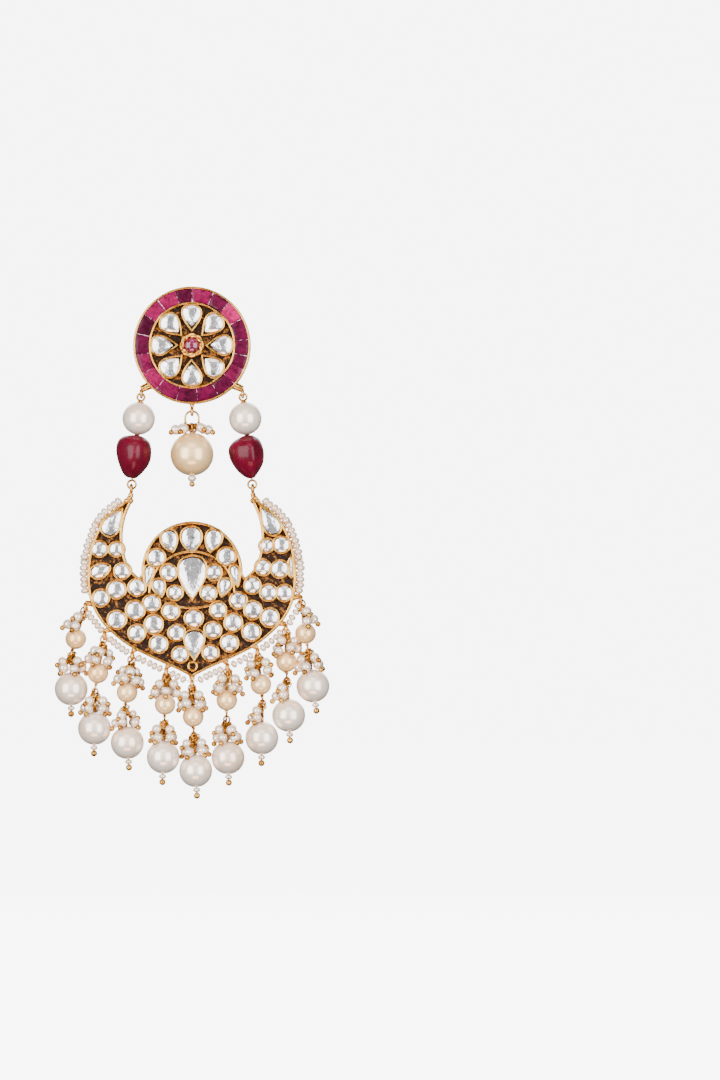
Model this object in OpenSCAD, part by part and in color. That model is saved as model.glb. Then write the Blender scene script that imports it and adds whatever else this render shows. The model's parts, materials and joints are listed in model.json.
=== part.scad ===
// Chandbali earring: a jewelled stud disc, two beaded links, a centre pearl drop
// and a crescent pendant set with flat-cut stones, fringed with nine pearl drops.
// Millimetres. +Z is up, the front faces -Y, and the origin is the middle of the
// stud's back face, where it sits against the ear lobe.

/* [Stud] */
// Outer diameter of the stud disc
disc_d = 28.1; // [27:0.1:30]
// Thickness of the stud disc
disc_t = 3.2; // [3:0.1:4]
// Thickness of the stud's back plate under its stones
disc_plate_t = 1.5; // [1.2:0.1:1.8]
// Width of the rim round the rubies
rim_w = 0.55; // [0.4:0.05:0.8]
// Width of the band of rubies
ruby_w = 3.1; // [2.6:0.1:3.3]
// Width of the gold ring inside the rubies
ring_w = 0.6; // [0.4:0.05:0.8]
// Gap between one ruby and the next
ruby_gap = 0.24; // [0.15:0.01:0.4]
// Number of petals round the centre ruby
petal_n = 8; // [6:1:8]
// Length of a petal setting
petal_l = 6.75; // [6:0.05:6.8]
// Width of a petal setting
petal_w = 5.1; // [4.4:0.1:5.3]
// Diameter of the centre ruby
ruby_d = 3.6; // [3:0.1:3.8]
// Height of the centre ruby's dome
ruby_dome = 1.2; // [0.8:0.1:1.4]
// Wire radius of the rope ring round the centre ruby
rope_r = 0.5; // [0.4:0.05:0.6]
// Distance from the disc's centre to each side eye
side_eye_reach = 16.7; // [16.4:0.1:18]
// Angle of each side eye below the horizontal
side_eye_angle = 43.5; // [38:0.5:48]
// Distance from the disc's centre to the bottom eye
low_eye_reach = 15.7; // [15.6:0.1:17]

/* [Ear post] */
// Radius of the ear post
post_r = 0.5; // [0.4:0.05:0.7]
// Length of the ear post behind the disc
post_l = 11; // [9:0.5:13]
// Radius of the pad that is let into the back of the disc
pad_r = 3; // [2:0.1:4]
// Thickness of that pad
pad_t = 0.6; // [0.4:0.1:0.8]

/* [Wire and eyes] */
// Radius of the round wire of links, pins and rings
wire_r = 0.26; // [0.2:0.01:0.3]
// Radius of an eye's ring, to the middle of its wire
eye_r = 0.85; // [0.8:0.01:0.95]
// Wire radius of an eye
eye_wire_r = 0.38; // [0.3:0.01:0.4]
// Gap between neighbours on one wire
string_gap = 0.1; // [0.06:0.01:0.2]
// Clearance of a wire in a drilled hole
bore_gap = 0.06; // [0.04:0.01:0.1]

/* [Links] */
// Radius of a link's upper loop
link_loop_r = 0.86; // [0.84:0.01:1]
// Radius of a link's lower loop
link_low_loop_r = 1; // [0.95:0.01:1.2]
// Diameter of a link's white pearl
link_pearl_d = 7.8; // [7.2:0.1:8.4]
// Length of a red bead
red_l = 10.4; // [9.5:0.1:11]
// Width of a red bead
red_w = 8.5; // [7.8:0.1:9]

/* [Centre drop] */
// Radius of the drop's ring
drop_ring_r = 1.62; // [1.5:0.01:1.9]
// Straight length between the two halves of that ring
drop_ring_s = 0.6; // [0.2:0.1:1]
// Diameter of the drop's cream pearl
drop_pearl_d = 10.3; // [9.4:0.1:11]

/* [Crescent] */
// Width of the crescent; its tables are in fiftieths of this
crescent_w = 50; // [48:0.5:52]
// Thickness of the crescent
crescent_t = 2.9; // [2.7:0.1:3.4]
// Thickness of the crescent's back plate under its stones
crescent_plate_t = 1.4; // [1.2:0.1:1.6]
// Wall of every setting
setting_w = 0.36; // [0.3:0.02:0.42]
// Width of the crescent's rim
edge_w = 0.5; // [0.4:0.05:0.7]
// Width of the gold bands that cross the crescent
band_w = 0.6; // [0.5:0.05:0.8]
// How far a lug's eye stands out from the rim
lug_reach = 1.65; // [1.6:0.05:1.9]
// Radius of a lug's stem
lug_r = 0.5; // [0.4:0.05:0.6]
// How far a lug's stem reaches into the crescent
lug_root = 0.6; // [0.5:0.05:0.8]
// Radius of the gold balls at the horn tips
granule_r = 0.6; // [0.5:0.05:0.7]

/* [Stones] */
// Clearance between a stone and its setting
stone_gap = 0.05; // [0.03:0.01:0.08]
// Height of a stone's top above its setting
stone_rise = 0.3; // [0.2:0.05:0.5]
// Depth of a stone's sloping facets inside its setting
stone_slope = 0.2; // [0.15:0.05:0.3]
// Width of a stone's table as a share of the stone
table_share = 0.6; // [0.5:0.02:0.7]

/* [Seed pearls] */
// Half width of the band of seed pearls along each horn
seed_band_hw = 1.3; // [1.1:0.05:1.4]
// Half depth of a band of seed pearls
seed_band_hd = 0.8; // [0.7:0.05:0.9]
// Half width of the short bands between the lugs
seed_edge_hw = 1.1; // [0.9:0.05:1.2]
// Diameter of a seed pearl in a cluster
cluster_seed_d = 2.3; // [2.1:0.05:2.4]
// Distance from a cluster's wire to the middle of its seed pearls
cluster_r = 2.35; // [2.2:0.05:2.4]

/* [Fringe] */
// Diameter of a fringe strand's cream cap pearl
cap_d = 5; // [4.6:0.1:5.2]
// Diameter of a fringe strand's white pearl
fringe_pearl_d = 7.9; // [7.2:0.1:8.1]
// Distance from a lug's eye to its cap pearl
cap_drop = 8.2; // [8.1:0.05:8.6]
// Distance from the joined loops to the white pearl
pearl_drop = 9; // [8.9:0.05:9.6]
// Radius of a strand's top loop
top_loop_r = 1.25; // [1.1:0.05:1.3]
// Radius of the joined loops
loop_r = 0.92; // [0.88:0.01:1]
// Diameter of the flattened pearl at the end of a strand
tip_seed_d = 1.9; // [1.7:0.1:2.1]
// Height of that pearl
tip_seed_h = 1.1; // [1:0.1:1.5]
// Radius of the gold ball at the end of a strand
ball_r = 0.7; // [0.6:0.05:0.85]

/* [Hidden] */
$fn = 48;
disc_r = disc_d / 2;
hang_y = -disc_t / 2;
unit = crescent_w / 50;
seed_r = cluster_seed_d / 2;
bore_r = wire_r + bore_gap;
strand_n = 9;
// Cutters run this far past the faces that they cut
cut = 0.01;
// Points of the tear settings: 0 would be an ellipse
tear = 1.2;
// A drop's sharp end gives way by this much more for each bit of its point
sharp_end = 0.7;
// Sides of the round stones
round_sides = 10;

// Angles of the seams between the rubies, clockwise from the top
ruby_seams = [90, 68, 49, 28, 6, -11, -25, -42, -62, -84, -106, -129, -150, -170, -192, -213, -233, -253];
ruby_out = disc_r - rim_w;
ruby_in = ruby_out - ruby_w;
ring_in = ruby_in - ring_w;
// The petals' outer ends run into the gold ring by this much
petal_hold = 0.12;
petal_out = ring_in + petal_hold;
ruby_wall = disc_t - disc_plate_t;
// The stud's lugs grow out of the middle of its rim wall
stem_start = disc_r - rim_w / 2;

// Side eyes of the stud, and the link from there down to the horn eye
side_eye = side_eye_reach * [cos(side_eye_angle), -sin(side_eye_angle)];
low_eye = [0, -low_eye_reach];
link_len = 2 * link_loop_r + 2 * wire_r + 4 * string_gap + link_pearl_d + red_l + 2 * link_low_loop_r;
horn_eye_x = 14.5 * unit;
horn_eye = [horn_eye_x, side_eye[1] - sqrt(pow(link_len, 2) - pow(horn_eye_x - side_eye[0], 2))];

// Middle of the crescent's outer circle, below the horn eyes
horn_eye_rise = 20 * unit;
crescent_z = horn_eye[1] - horn_eye_rise;
// The plate's middle lies this far behind the plane that everything hangs in, or in
// front of it below zero, which brings the pendant's weight under its hinge line
crescent_back = -0.2;
crescent_y = hang_y + crescent_back + crescent_t / 2;
crescent_wall = crescent_t - crescent_plate_t;

// Half outline of the crescent, in fiftieths of its width: [x, z] from the middle.
// The outer edge runs from the horn's tip to the bottom point.
outer_edge = [[15.2, 17.6], [17.6, 15.8], [20.6, 13.3], [23.1, 9], [24.6, 4], [25, -1.5], [24.2, -7],
              [21.8, -11.6], [18.3, -15.2], [14.6, -17.9], [11, -19.8], [7.4, -21.5], [3.6, -23.2],
              [0, -25.1]];
// The inner edge runs from the notch beside the dome up to the horn's tip
inner_edge = [[12.7, -1.2], [14.8, 1], [16.2, 4.7], [16.6, 9], [15.9, 13.2], [14.3, 17]];
dome_r = 12.1;
dome_z = 0.1;
dome_start = -4;
dome_step = 7;
edge_steps = 3;
band_steps = 14;
// The way out from the edge is taken over this much of it on each side of a place
slope_step = 0.2;
// Middle of each horn's tip, with its two gold balls, which stand above it by granule_rise
horn_tip = [15.1, 16.6];
granule_rise = 0.5;

// Round settings of the crescent, in fiftieths of its width: [x, z, radius]
round_settings = [
    [-22.1, 5.6, 2.05], [-18, 5.5, 1.95], [-16.6, 0.3, 2.1], [-18, -4.1, 2.35], [-13.1, -3.6, 2.2],
    [-21.7, -6.1, 2.15], [21.4, 6.6, 2.15], [17.9, 6.4, 1.85], [17, 1.2, 2.05], [21, 0.8, 2.25],
    [14.5, -3.1, 2.15], [18.3, -4.8, 2.15], [22.1, -4.9, 2.1], [-8.5, 3.5, 2.3], [8.3, 3.8, 2.3],
    [-5.5, 0, 2.1], [5.3, 0, 2.05], [-4, -4.9, 1.95], [4, -5, 2.05], [-9.6, -7.4, 2.2],
    [11.1, -6.7, 2.15], [-13.5, -9, 2.4], [14.6, -9, 2.3], [-5, -9.3, 2.2], [6.3, -9, 2.15],
    [0.5, -11, 2.3], [-17.9, -11.3, 2.35], [18.6, -10.8, 2.35], [-9.1, -12.4, 2.4], [9.9, -12, 2.3],
    [-3.6, -14.4, 2.1], [5, -13.8, 2.15], [-13.1, -14.5, 2.2], [14.2, -14.2, 2.3], [-7.9, -17.1, 2.25],
    [9, -16.8, 2.25], [-2.8, -19.6, 2.05], [4.5, -19.2, 2.05]];
// Shaped settings: [x, z, half width, length, turn of the tip from straight down, point]
// where a point of 0 makes an ellipse
shaped_settings = [
    [-18.7, 12.1, 2.3, 8, 146, tear], [18.4, 12.4, 2.2, 8, -148, tear], [-21.8, 0.4, 1.9, 5.2, 115, 0.3],
    [23.7, 1.2, 0.85, 5, 0, 0], [-0.1, 7.9, 2.6, 6.5, 0, 0.5], [-5.3, 7.5, 2.2, 5.7, 15, 0.6],
    [5.1, 7.6, 2.15, 5.8, -15, 0.6], [-10.4, -0.8, 1.35, 5.6, -11, 0.8], [10.4, -0.8, 1.35, 5.6, 11, 0.8],
    [0.1, -1.3, 3.6, 10.8, 0, tear], [-7.75, -3.7, 1.65, 4.9, 14, 0.8], [7.75, -3.6, 1.65, 5, -14, 0.8],
    [0.6, -17.3, 2.6, 7.6, 0, tear]];
// Gold bands: [middle z, radius, first angle, last angle]
gold_bands = [[-5.2, 10.2, 2, 178], [7.5, 16, 246, 294]];
// Small empty ring above the bottom lug: [x, z, outer radius, hole radius]
tip_ring = [0.2, -22.4, 1.35, 0.7];

// Fringe strands from left to right: [side, place of the lug along the outer edge,
// share of cap_drop, lean of the upper part, share of pearl_drop, lean of the lower part,
// side of the upper cluster, side of the lower cluster], where a cluster's side is 0
// for a whole ring and -1 or 1 for its left or right half, beside a neighbour
strands = [
    [-1, 6.15, 0.96, -17, 0.93, 0, -1, 0], [-1, 7.6, 1.11, -10, 1.06, -1, 0, 0],
    [-1, 9.3, 1.07, -8, 0.92, 4, 0, 0], [-1, 11.5, 0.94, -2, 0.98, -2, 0, 0],
    [0, 13, 0.94, 2, 1.02, 3, 0, 0], [1, 10.9, 0.94, -1, 1.11, 2, 0, 0],
    [1, 8.95, 0.93, 6, 1.01, -1, 0, -1], [1, 7.2, 0.96, 1, 1.01, 3, 0, -1],
    [1, 5.85, 0.98, 8, 0.99, 8, 1, 0]];
// Seed pearls in a whole cluster and in half of one
cluster_n = 8;
half_cluster_n = 5;

// Sections of the red beads from the top down: [share of length, reach to the left,
// reach to the right, reach in depth], reaches in shares of the half width
red_left = [
    [0, 0.26, 0.22, 0.24], [0.05, 0.72, 0.5, 0.6], [0.13, 0.97, 0.75, 0.82], [0.24, 1.07, 0.86, 0.93],
    [0.34, 1.09, 0.91, 0.97], [0.45, 1.06, 0.93, 0.96], [0.58, 0.97, 0.89, 0.9], [0.71, 0.84, 0.76, 0.79],
    [0.84, 0.68, 0.55, 0.64], [0.94, 0.5, 0.34, 0.45], [1, 0.3, 0.2, 0.25]];
red_right = [
    [0, 0.22, 0.24, 0.24], [0.05, 0.52, 0.46, 0.5], [0.12, 0.84, 0.66, 0.76], [0.22, 1.07, 0.77, 0.92],
    [0.32, 1.14, 0.83, 0.98], [0.43, 1.13, 0.85, 0.98], [0.56, 1.06, 0.82, 0.93], [0.69, 0.91, 0.73, 0.82],
    [0.82, 0.71, 0.53, 0.64], [0.93, 0.45, 0.31, 0.4], [1, 0.22, 0.18, 0.22]];

function numbered(name, n) = [for (i = [1:n]) str(name, i)];

// Outlines

function circle_points(r, n) = [for (i = [0:n - 1]) r * [cos(360 * i / n), sin(360 * i / n)]];

// Widest value of the drop formula, which brings its half width to 1
function drop_peak(point) = let (q = (point + 1) / (point + 2)) 2 * pow(q, (point + 1) / 2) * sqrt(1 - q);

// A drop with its tip towards -y, or an ellipse where point is 0
function drop_points(hw, l, point, n = 16) =
    [for (i = [0:n - 1]) let (t = 360 * i / n)
        [hw * sin(t) * pow(sin(t / 2), point) / drop_peak(point), -l / 2 * cos(t)]];

// How much shorter a drop gets at each end for each bit it is made narrower
function drop_inset(hw, l, point, d) = drop_points(hw - d, l - (2 + sharp_end * point) * d, point);

// A smooth curve through the points p, at place s along them
function smooth_at(p, s) =
    let (last = len(p) - 1, i = min(floor(s), last - 1), t = s - i,
         a = p[max(i - 1, 0)], b = p[i], c = p[i + 1], d = p[min(i + 2, last)])
    0.5 * (2 * b + (c - a) * t + (2 * a - 5 * b + 4 * c - d) * t * t + (3 * b - a - 3 * c + d) * t * t * t);

function smooth(p, steps) = [for (k = [0:(len(p) - 1) * steps]) smooth_at(p, k / steps)];

function unit_of(v) = v / norm(v);

// Points moved sideways by d, to the left of the way that they run
function moved(p, d) =
    [for (i = [0:len(p) - 1])
        let (n = len(p), v = unit_of(p[(i + 1) % n] - p[(i + n - 1) % n])) p[i] + d * [-v[1], v[0]]];

// Right half of the crescent's outline from the top of the dome to the bottom point,
// and then back up the left half
half_outline = concat(
    [for (a = [90:-dome_step:dome_start]) [dome_r * cos(a), dome_z + dome_r * sin(a)]],
    smooth(inner_edge, edge_steps), smooth(outer_edge, edge_steps));
outline = unit * concat(
    half_outline,
    [for (i = [len(half_outline) - 2:-1:1]) [-half_outline[i][0], half_outline[i][1]]]);

// Place on the outer edge and the way out from it, for a lug or a seed pearl band
function edge_at(side, s) = let (p = unit * smooth_at(outer_edge, s)) [side * p[0], p[1]];
function edge_out(side, s) =
    let (a = smooth_at(outer_edge, max(s - slope_step, 0)),
         b = smooth_at(outer_edge, min(s + slope_step, len(outer_edge) - 1)), v = unit_of(b - a))
    side == 0 ? [0, -1] : [-side * v[1], v[0]];
function edge_point(side, s, out) = edge_at(side, s) + out * edge_out(side, s) + [0, crescent_z];

// Strand i: its eye, its two directions, and the places of its pieces
function way_down(lean) = [sin(lean), -cos(lean)];
function eye_of(i) = edge_point(strands[i][0], strands[i][1], lug_reach);
function cap_of(i) = eye_of(i) + cap_drop * strands[i][2] * way_down(strands[i][3]);
function joint_of(i) = cap_of(i) + (cap_d / 2 + string_gap + wire_r + loop_r) * way_down(strands[i][3]);
function pearl_of(i) = joint_of(i) + pearl_drop * strands[i][4] * way_down(strands[i][5]);
tip_seed_drop = fringe_pearl_d / 2 + string_gap + tip_seed_h / 2;
ball_drop = tip_seed_drop + tip_seed_h / 2 + string_gap + ball_r;

// How far above a pearl of radius r a cluster's seed pearls just clear it
function cluster_rise(r) = sqrt(pow(r + seed_r + string_gap, 2) - pow(cluster_r, 2));

// Solids from points

// Closed solid through rings of points that run anticlockwise, seen from the last ring
module loft(rings) {
    n = len(rings[0]);
    m = len(rings);
    points = [for (ring = rings) each ring];
    ends = [[for (i = [0:n - 1]) i], [for (i = [n - 1:-1:0]) (m - 1) * n + i]];
    sides = [for (k = [0:m - 2]) for (i = [0:n - 1])
        let (a = k * n + i, b = k * n + (i + 1) % n) each [[a, a + n, b + n], [a, b + n, b]]];
    polyhedron(points, concat(ends, sides));
}

// A cut stone on an outline: straight girdle, sloping facets and a flat table
module cut_stone(shape, girdle, height) {
    loft([[for (p = shape) [p[0], p[1], 0]], [for (p = shape) [p[0], p[1], girdle]],
          [for (p = shape) [table_share * p[0], table_share * p[1], height]]]);
}

// A band of seed pearls along a route, as one oval tube
module seed_band(route, hw, hd, sides = 8) {
    n = len(route);
    loft([for (k = [0:n - 1])
        let (v = unit_of(route[min(k + 1, n - 1)] - route[max(k - 1, 0)]), out = [-v[1], v[0]])
        [for (i = [0:sides - 1]) let (a = 360 * i / sides, p = route[k] + hw * cos(a) * out)
            [p[0], hang_y + hd * sin(a), p[1]]]]);
}

// Places in the X-Z plane

// Lays a flat drawing upright at depth y, its height growing towards the front
module upright(y) {
    translate([0, y, 0]) rotate([90, 0, 0]) children();
}

// Puts something at a point of the hang plane with its -Z along a lean
module hung(p, lean = 0) {
    translate([p[0], hang_y, p[1]]) rotate([0, -lean, 0]) children();
}

module bar(a, b, r) {
    d = b - a;
    translate([a[0], hang_y, a[1]]) rotate([0, atan2(d[0], d[1]), 0]) cylinder(h = norm(d), r = r);
}

module torus(major, minor) {
    rotate_extrude() translate([major, 0]) circle(minor);
}

// An eye whose hole runs along X, on a stem that meets its ring at the top or,
// where up is -1, at the bottom
module lug(from, eye, up = 1) {
    bar(from, eye + [0, up * (eye_r + eye_wire_r / 2)], lug_r);
    hung(eye) rotate([0, 90, 0]) torus(eye_r, eye_wire_r);
}

// A loop that faces the front
module front_loop(r) {
    rotate([90, 0, 0]) torus(r, wire_r);
}

// A loop that faces sideways
module side_loop(r) {
    rotate([0, 90, 0]) torus(r, wire_r);
}

// A pearl drilled along Z, with flat ends where its height h is less than its diameter
module drilled_ball(d, h = 0) {
    difference() {
        intersection() {
            sphere(d = d);
            cylinder(h = h == 0 ? 2 * d : h, r = d, center = true);
        }
        cylinder(h = 2 * d, r = bore_r, center = true);
    }
}

// A ring of touching seed pearls round a wire, or its left or right half, in one body
module cluster(side = 0) {
    n = side == 0 ? cluster_n : half_cluster_n;
    union() for (i = [0:n - 1])
        rotate([0, 0, -90 * side + 360 * i / cluster_n]) translate([cluster_r, 0, 0])
            sphere(d = cluster_seed_d);
}

// Stud

module at_petal(i) {
    rotate(360 * i / petal_n) translate([0, petal_out - petal_l / 2]) children();
}

module stud_disc() {
    color("goldenrod") {
        difference() {
            upright(0) cylinder(h = disc_plate_t, r = disc_r);
            upright(cut) cylinder(h = pad_t + stone_gap + cut, r = pad_r + stone_gap);
        }
        upright(-disc_plate_t) linear_extrude(ruby_wall) difference() {
            union() {
                difference() {
                    circle(disc_r);
                    circle(ruby_out);
                }
                difference() {
                    circle(ruby_in);
                    circle(ring_in);
                }
                for (i = [0:petal_n - 1]) at_petal(i) polygon(drop_points(petal_w / 2, petal_l, tear));
            }
            for (i = [0:petal_n - 1]) at_petal(i)
                polygon(drop_inset(petal_w / 2, petal_l, tear, setting_w));
        }
        upright(-disc_plate_t) rotate_extrude() {
            translate([ruby_d / 2 + stone_gap, 0]) square([2 * rope_r, ruby_wall]);
            translate([ruby_d / 2 + stone_gap + rope_r, ruby_wall]) circle(rope_r);
        }
        for (side = [-1, 1])
            lug(stem_start * [side * cos(side_eye_angle), -sin(side_eye_angle)],
                [side * side_eye[0], side_eye[1]]);
        lug([0, -stem_start], low_eye);
    }
}

function ruby_points(a0, a1) =
    let (mid = (a0 + a1) / 2, r0 = ruby_in + stone_gap, r1 = ruby_out - stone_gap,
         g0 = ruby_gap / 2 / r0 * 180 / PI, g1 = ruby_gap / 2 / r1 * 180 / PI)
    [r0 * [cos(mid), sin(mid)], r0 * [cos(a1 + g0), sin(a1 + g0)], r1 * [cos(a1 + g1), sin(a1 + g1)],
     r1 * [cos(mid), sin(mid)], r1 * [cos(a0 - g1), sin(a0 - g1)], r0 * [cos(a0 - g0), sin(a0 - g0)]];

module ruby_band() {
    n = len(ruby_seams);
    mid_r = (ruby_in + ruby_out) / 2;
    color("crimson") for (i = [0:n - 1]) {
        a0 = ruby_seams[i];
        a1 = i < n - 1 ? ruby_seams[i + 1] : ruby_seams[0] - 360;
        middle = mid_r * [cos((a0 + a1) / 2), sin((a0 + a1) / 2)];
        shape = [for (p = ruby_points(a0, a1)) p - middle];
        upright(-disc_plate_t - stone_gap) translate([middle[0], middle[1], 0])
            cut_stone(shape, ruby_wall - stone_slope, ruby_wall);
    }
}

module petal_stone(i) {
    color("gainsboro") upright(-disc_plate_t - stone_gap) at_petal(i - 1)
        cut_stone(drop_inset(petal_w / 2, petal_l, tear, setting_w + stone_gap),
                  ruby_wall - stone_slope, ruby_wall + stone_rise);
}

module centre_ruby() {
    r = ruby_d / 2;
    color("mediumvioletred") upright(-disc_plate_t - stone_gap) rotate_extrude()
        polygon(concat([[0, 0], [r, 0]],
                       [for (a = [0:15:90]) [r * cos(a), ruby_wall - stone_slope + ruby_dome * sin(a)]]));
}

module ear_post() {
    color("gold") rotate([-90, 0, 0]) {
        translate([0, 0, -pad_t]) cylinder(h = pad_t, r = pad_r);
        translate([0, 0, -pad_t / 2]) cylinder(h = post_l + pad_t / 2, r = post_r);
    }
}

// Links

link_lean = atan2(horn_eye[0] - side_eye[0], side_eye[1] - horn_eye[1]);
link_pearl_drop = 2 * link_loop_r + wire_r + string_gap + link_pearl_d / 2;
red_drop = link_pearl_drop + link_pearl_d / 2 + string_gap;

module along_link(side, drop = 0) {
    hung([side * side_eye[0], side_eye[1]], side * link_lean) translate([0, 0, -drop]) children();
}

module link_wire(side) {
    color("goldenrod") along_link(side) {
        translate([0, 0, -link_loop_r]) front_loop(link_loop_r);
        translate([0, 0, 2 * link_low_loop_r - link_len])
            cylinder(h = link_len - 2 * link_low_loop_r - 2 * link_loop_r, r = wire_r);
        translate([0, 0, link_low_loop_r - link_len]) front_loop(link_low_loop_r);
    }
}

module link_pearl(side) {
    color("seashell") along_link(side, link_pearl_drop) drilled_ball(link_pearl_d);
}

module red_bead(side) {
    hw = red_w / 2;
    sides = 14;
    sections = side < 0 ? red_left : red_right;
    n = len(sections);
    color("darkred") along_link(side, red_drop) difference() {
        loft([for (k = [n - 1:-1:0]) let (s = sections[k])
            [for (i = [0:sides - 1]) let (a = 360 * i / sides)
                [hw * cos(a) * (cos(a) < 0 ? s[1] : s[2]), hw * sin(a) * s[3], -red_l * s[0]]]]);
        translate([0, 0, -red_l - cut]) cylinder(h = red_l + 2 * cut, r = bore_r);
    }
}

// Centre drop

drop_ring_h = 2 * drop_ring_r + drop_ring_s;
drop_hook = low_eye - [0, drop_ring_h];
drop_pearl_z = -loop_r - wire_r - string_gap - drop_pearl_d / 2;
drop_seed_z = drop_pearl_z - drop_pearl_d / 2 - string_gap - tip_seed_h / 2;
drop_ball_z = drop_seed_z - tip_seed_h / 2 - string_gap - ball_r;

module half_ring() {
    rotate([90, 0, 0]) rotate_extrude(angle = 180) translate([drop_ring_r, 0]) circle(wire_r);
}

module drop_ring() {
    color("goldenrod") hung(low_eye) {
        translate([0, 0, -drop_ring_r]) half_ring();
        translate([0, 0, -drop_ring_r - drop_ring_s]) rotate([0, 180, 0]) half_ring();
        for (x = [-drop_ring_r, drop_ring_r])
            translate([x, 0, -drop_ring_r - drop_ring_s]) cylinder(h = drop_ring_s, r = wire_r);
    }
}

module drop_pin() {
    color("goldenrod") hung(drop_hook) {
        side_loop(loop_r);
        translate([0, 0, drop_ball_z]) {
            cylinder(h = -loop_r - drop_ball_z, r = wire_r);
            sphere(r = ball_r);
        }
    }
}

module drop_pearl() {
    color("blanchedalmond") hung(drop_hook) translate([0, 0, drop_pearl_z]) drilled_ball(drop_pearl_d);
}

module drop_seed() {
    color("seashell") hung(drop_hook) translate([0, 0, drop_seed_z]) drilled_ball(tip_seed_d, tip_seed_h);
}

module drop_cluster() {
    color("linen") hung(drop_hook) translate([0, 0, drop_pearl_z + cluster_rise(drop_pearl_d / 2)]) cluster();
}

// Crescent

module at_crescent() {
    translate([0, 0, crescent_z]) children();
}

// The turn and place of a shaped setting, in the crescent's flat drawing
module at_setting(s) {
    translate([unit * s[0], unit * s[1]]) rotate(s[4]) children();
}

function arc(z, r, a0, a1) =
    [for (i = [0:band_steps]) let (a = a0 + (a1 - a0) * i / band_steps) [r * cos(a), z + r * sin(a)]];
function arc_band(z, r, a0, a1) = concat(arc(z, r + band_w / 2, a0, a1), arc(z, r - band_w / 2, a1, a0));

module crescent_walls() {
    inner = moved(outline, -edge_w);
    n = len(outline);
    difference() {
        union() {
            polygon(concat(outline, inner), [[for (i = [0:n - 1]) i], [for (i = [0:n - 1]) n + i]]);
            for (s = round_settings) translate([unit * s[0], unit * s[1]]) circle(unit * s[2]);
            for (s = shaped_settings) at_setting(s)
                polygon(drop_points(unit * s[2], unit * s[3], s[5]));
            for (b = gold_bands) polygon(arc_band(unit * b[0], unit * b[1], b[2], b[3]));
            translate([unit * tip_ring[0], unit * tip_ring[1]]) circle(unit * tip_ring[2]);
        }
        for (s = round_settings) translate([unit * s[0], unit * s[1]]) circle(unit * s[2] - setting_w);
        for (s = shaped_settings) at_setting(s)
            polygon(drop_inset(unit * s[2], unit * s[3], s[5], setting_w));
        translate([unit * tip_ring[0], unit * tip_ring[1]]) circle(unit * tip_ring[3]);
    }
}

module crescent_frame() {
    color("goldenrod") {
        at_crescent() upright(crescent_y) linear_extrude(crescent_plate_t) polygon(outline);
        at_crescent() upright(crescent_y - crescent_plate_t) linear_extrude(crescent_wall) crescent_walls();
        for (i = [0:strand_n - 1])
            lug(edge_point(strands[i][0], strands[i][1], -lug_root), eye_of(i));
        for (side = [-1, 1]) {
            tip = [side * unit * horn_tip[0], crescent_z + unit * horn_tip[1]];
            lug(tip, [side * horn_eye[0], horn_eye[1]], -1);
            for (x = [-granule_r, granule_r])
                translate([tip[0] + x, crescent_y - crescent_t / 2, tip[1] + granule_rise])
                    sphere(r = granule_r);
        }
    }
}

module crescent_round_stones() {
    color("gainsboro") at_crescent() upright(crescent_y - crescent_plate_t - stone_gap)
        for (s = round_settings) translate([unit * s[0], unit * s[1], 0])
            cut_stone(circle_points(unit * s[2] - setting_w - stone_gap, round_sides),
                      crescent_wall - stone_slope, crescent_wall + stone_rise);
}

module crescent_shaped_stones() {
    color("gainsboro") at_crescent() upright(crescent_y - crescent_plate_t - stone_gap)
        for (s = shaped_settings) at_setting(s)
            cut_stone(drop_inset(unit * s[2], unit * s[3], s[5], setting_w + stone_gap),
                      crescent_wall - stone_slope, crescent_wall + stone_rise);
}

// Seed pearl edging

// Places along the outer edge: first and last of a horn's band and the step between
// its sections, and the bare stretch after a lug, where its loop hangs, and before one
horn_first = 0.6;
horn_last = 5.6;
horn_step = 0.5;
after_lug = 0.58;
before_lug = 0.3;
edge_sections = 3;

module horn_seeds(side) {
    color("seashell")
        seed_band([for (s = [horn_first:horn_step:horn_last]) edge_point(side, s, seed_band_hw + string_gap)],
                  seed_band_hw, seed_band_hd);
}

module edge_seeds(side) {
    middle = (strand_n - 1) / 2;
    lugs = [for (i = [0:middle]) strands[side < 0 ? i : strand_n - 1 - i][1]];
    color("seashell") for (i = [0:middle - 1]) {
        first = lugs[i] + after_lug;
        step = (lugs[i + 1] - before_lug - first) / edge_sections;
        seed_band([for (k = [0:edge_sections]) edge_point(side, first + step * k, seed_edge_hw + string_gap)],
                  seed_edge_hw, seed_band_hd);
    }
}

// Fringe

module cap_pearl(i) {
    color("blanchedalmond") hung(cap_of(i), strands[i][3]) drilled_ball(cap_d);
}

module fringe_pearl(i) {
    color("seashell") hung(pearl_of(i), strands[i][5]) drilled_ball(fringe_pearl_d);
}

module fringe_wire(i) {
    upper_l = norm(joint_of(i) - eye_of(i));
    lower_l = norm(pearl_of(i) - joint_of(i)) + ball_drop;
    color("goldenrod") {
        hung(eye_of(i), strands[i][3]) {
            translate([0, 0, -top_loop_r]) front_loop(top_loop_r);
            translate([0, 0, loop_r - upper_l]) cylinder(h = upper_l - loop_r - 2 * top_loop_r, r = wire_r);
            translate([0, 0, -upper_l]) side_loop(loop_r);
        }
        hung(joint_of(i), strands[i][5]) {
            translate([0, 0, -loop_r]) front_loop(loop_r);
            translate([0, 0, -lower_l]) {
                cylinder(h = lower_l - 2 * loop_r, r = wire_r);
                sphere(r = ball_r);
            }
        }
    }
}

module upper_clusters() {
    color("linen") for (i = [0:strand_n - 1])
        hung(cap_of(i), strands[i][3]) translate([0, 0, cluster_rise(cap_d / 2)]) cluster(strands[i][6]);
}

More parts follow.
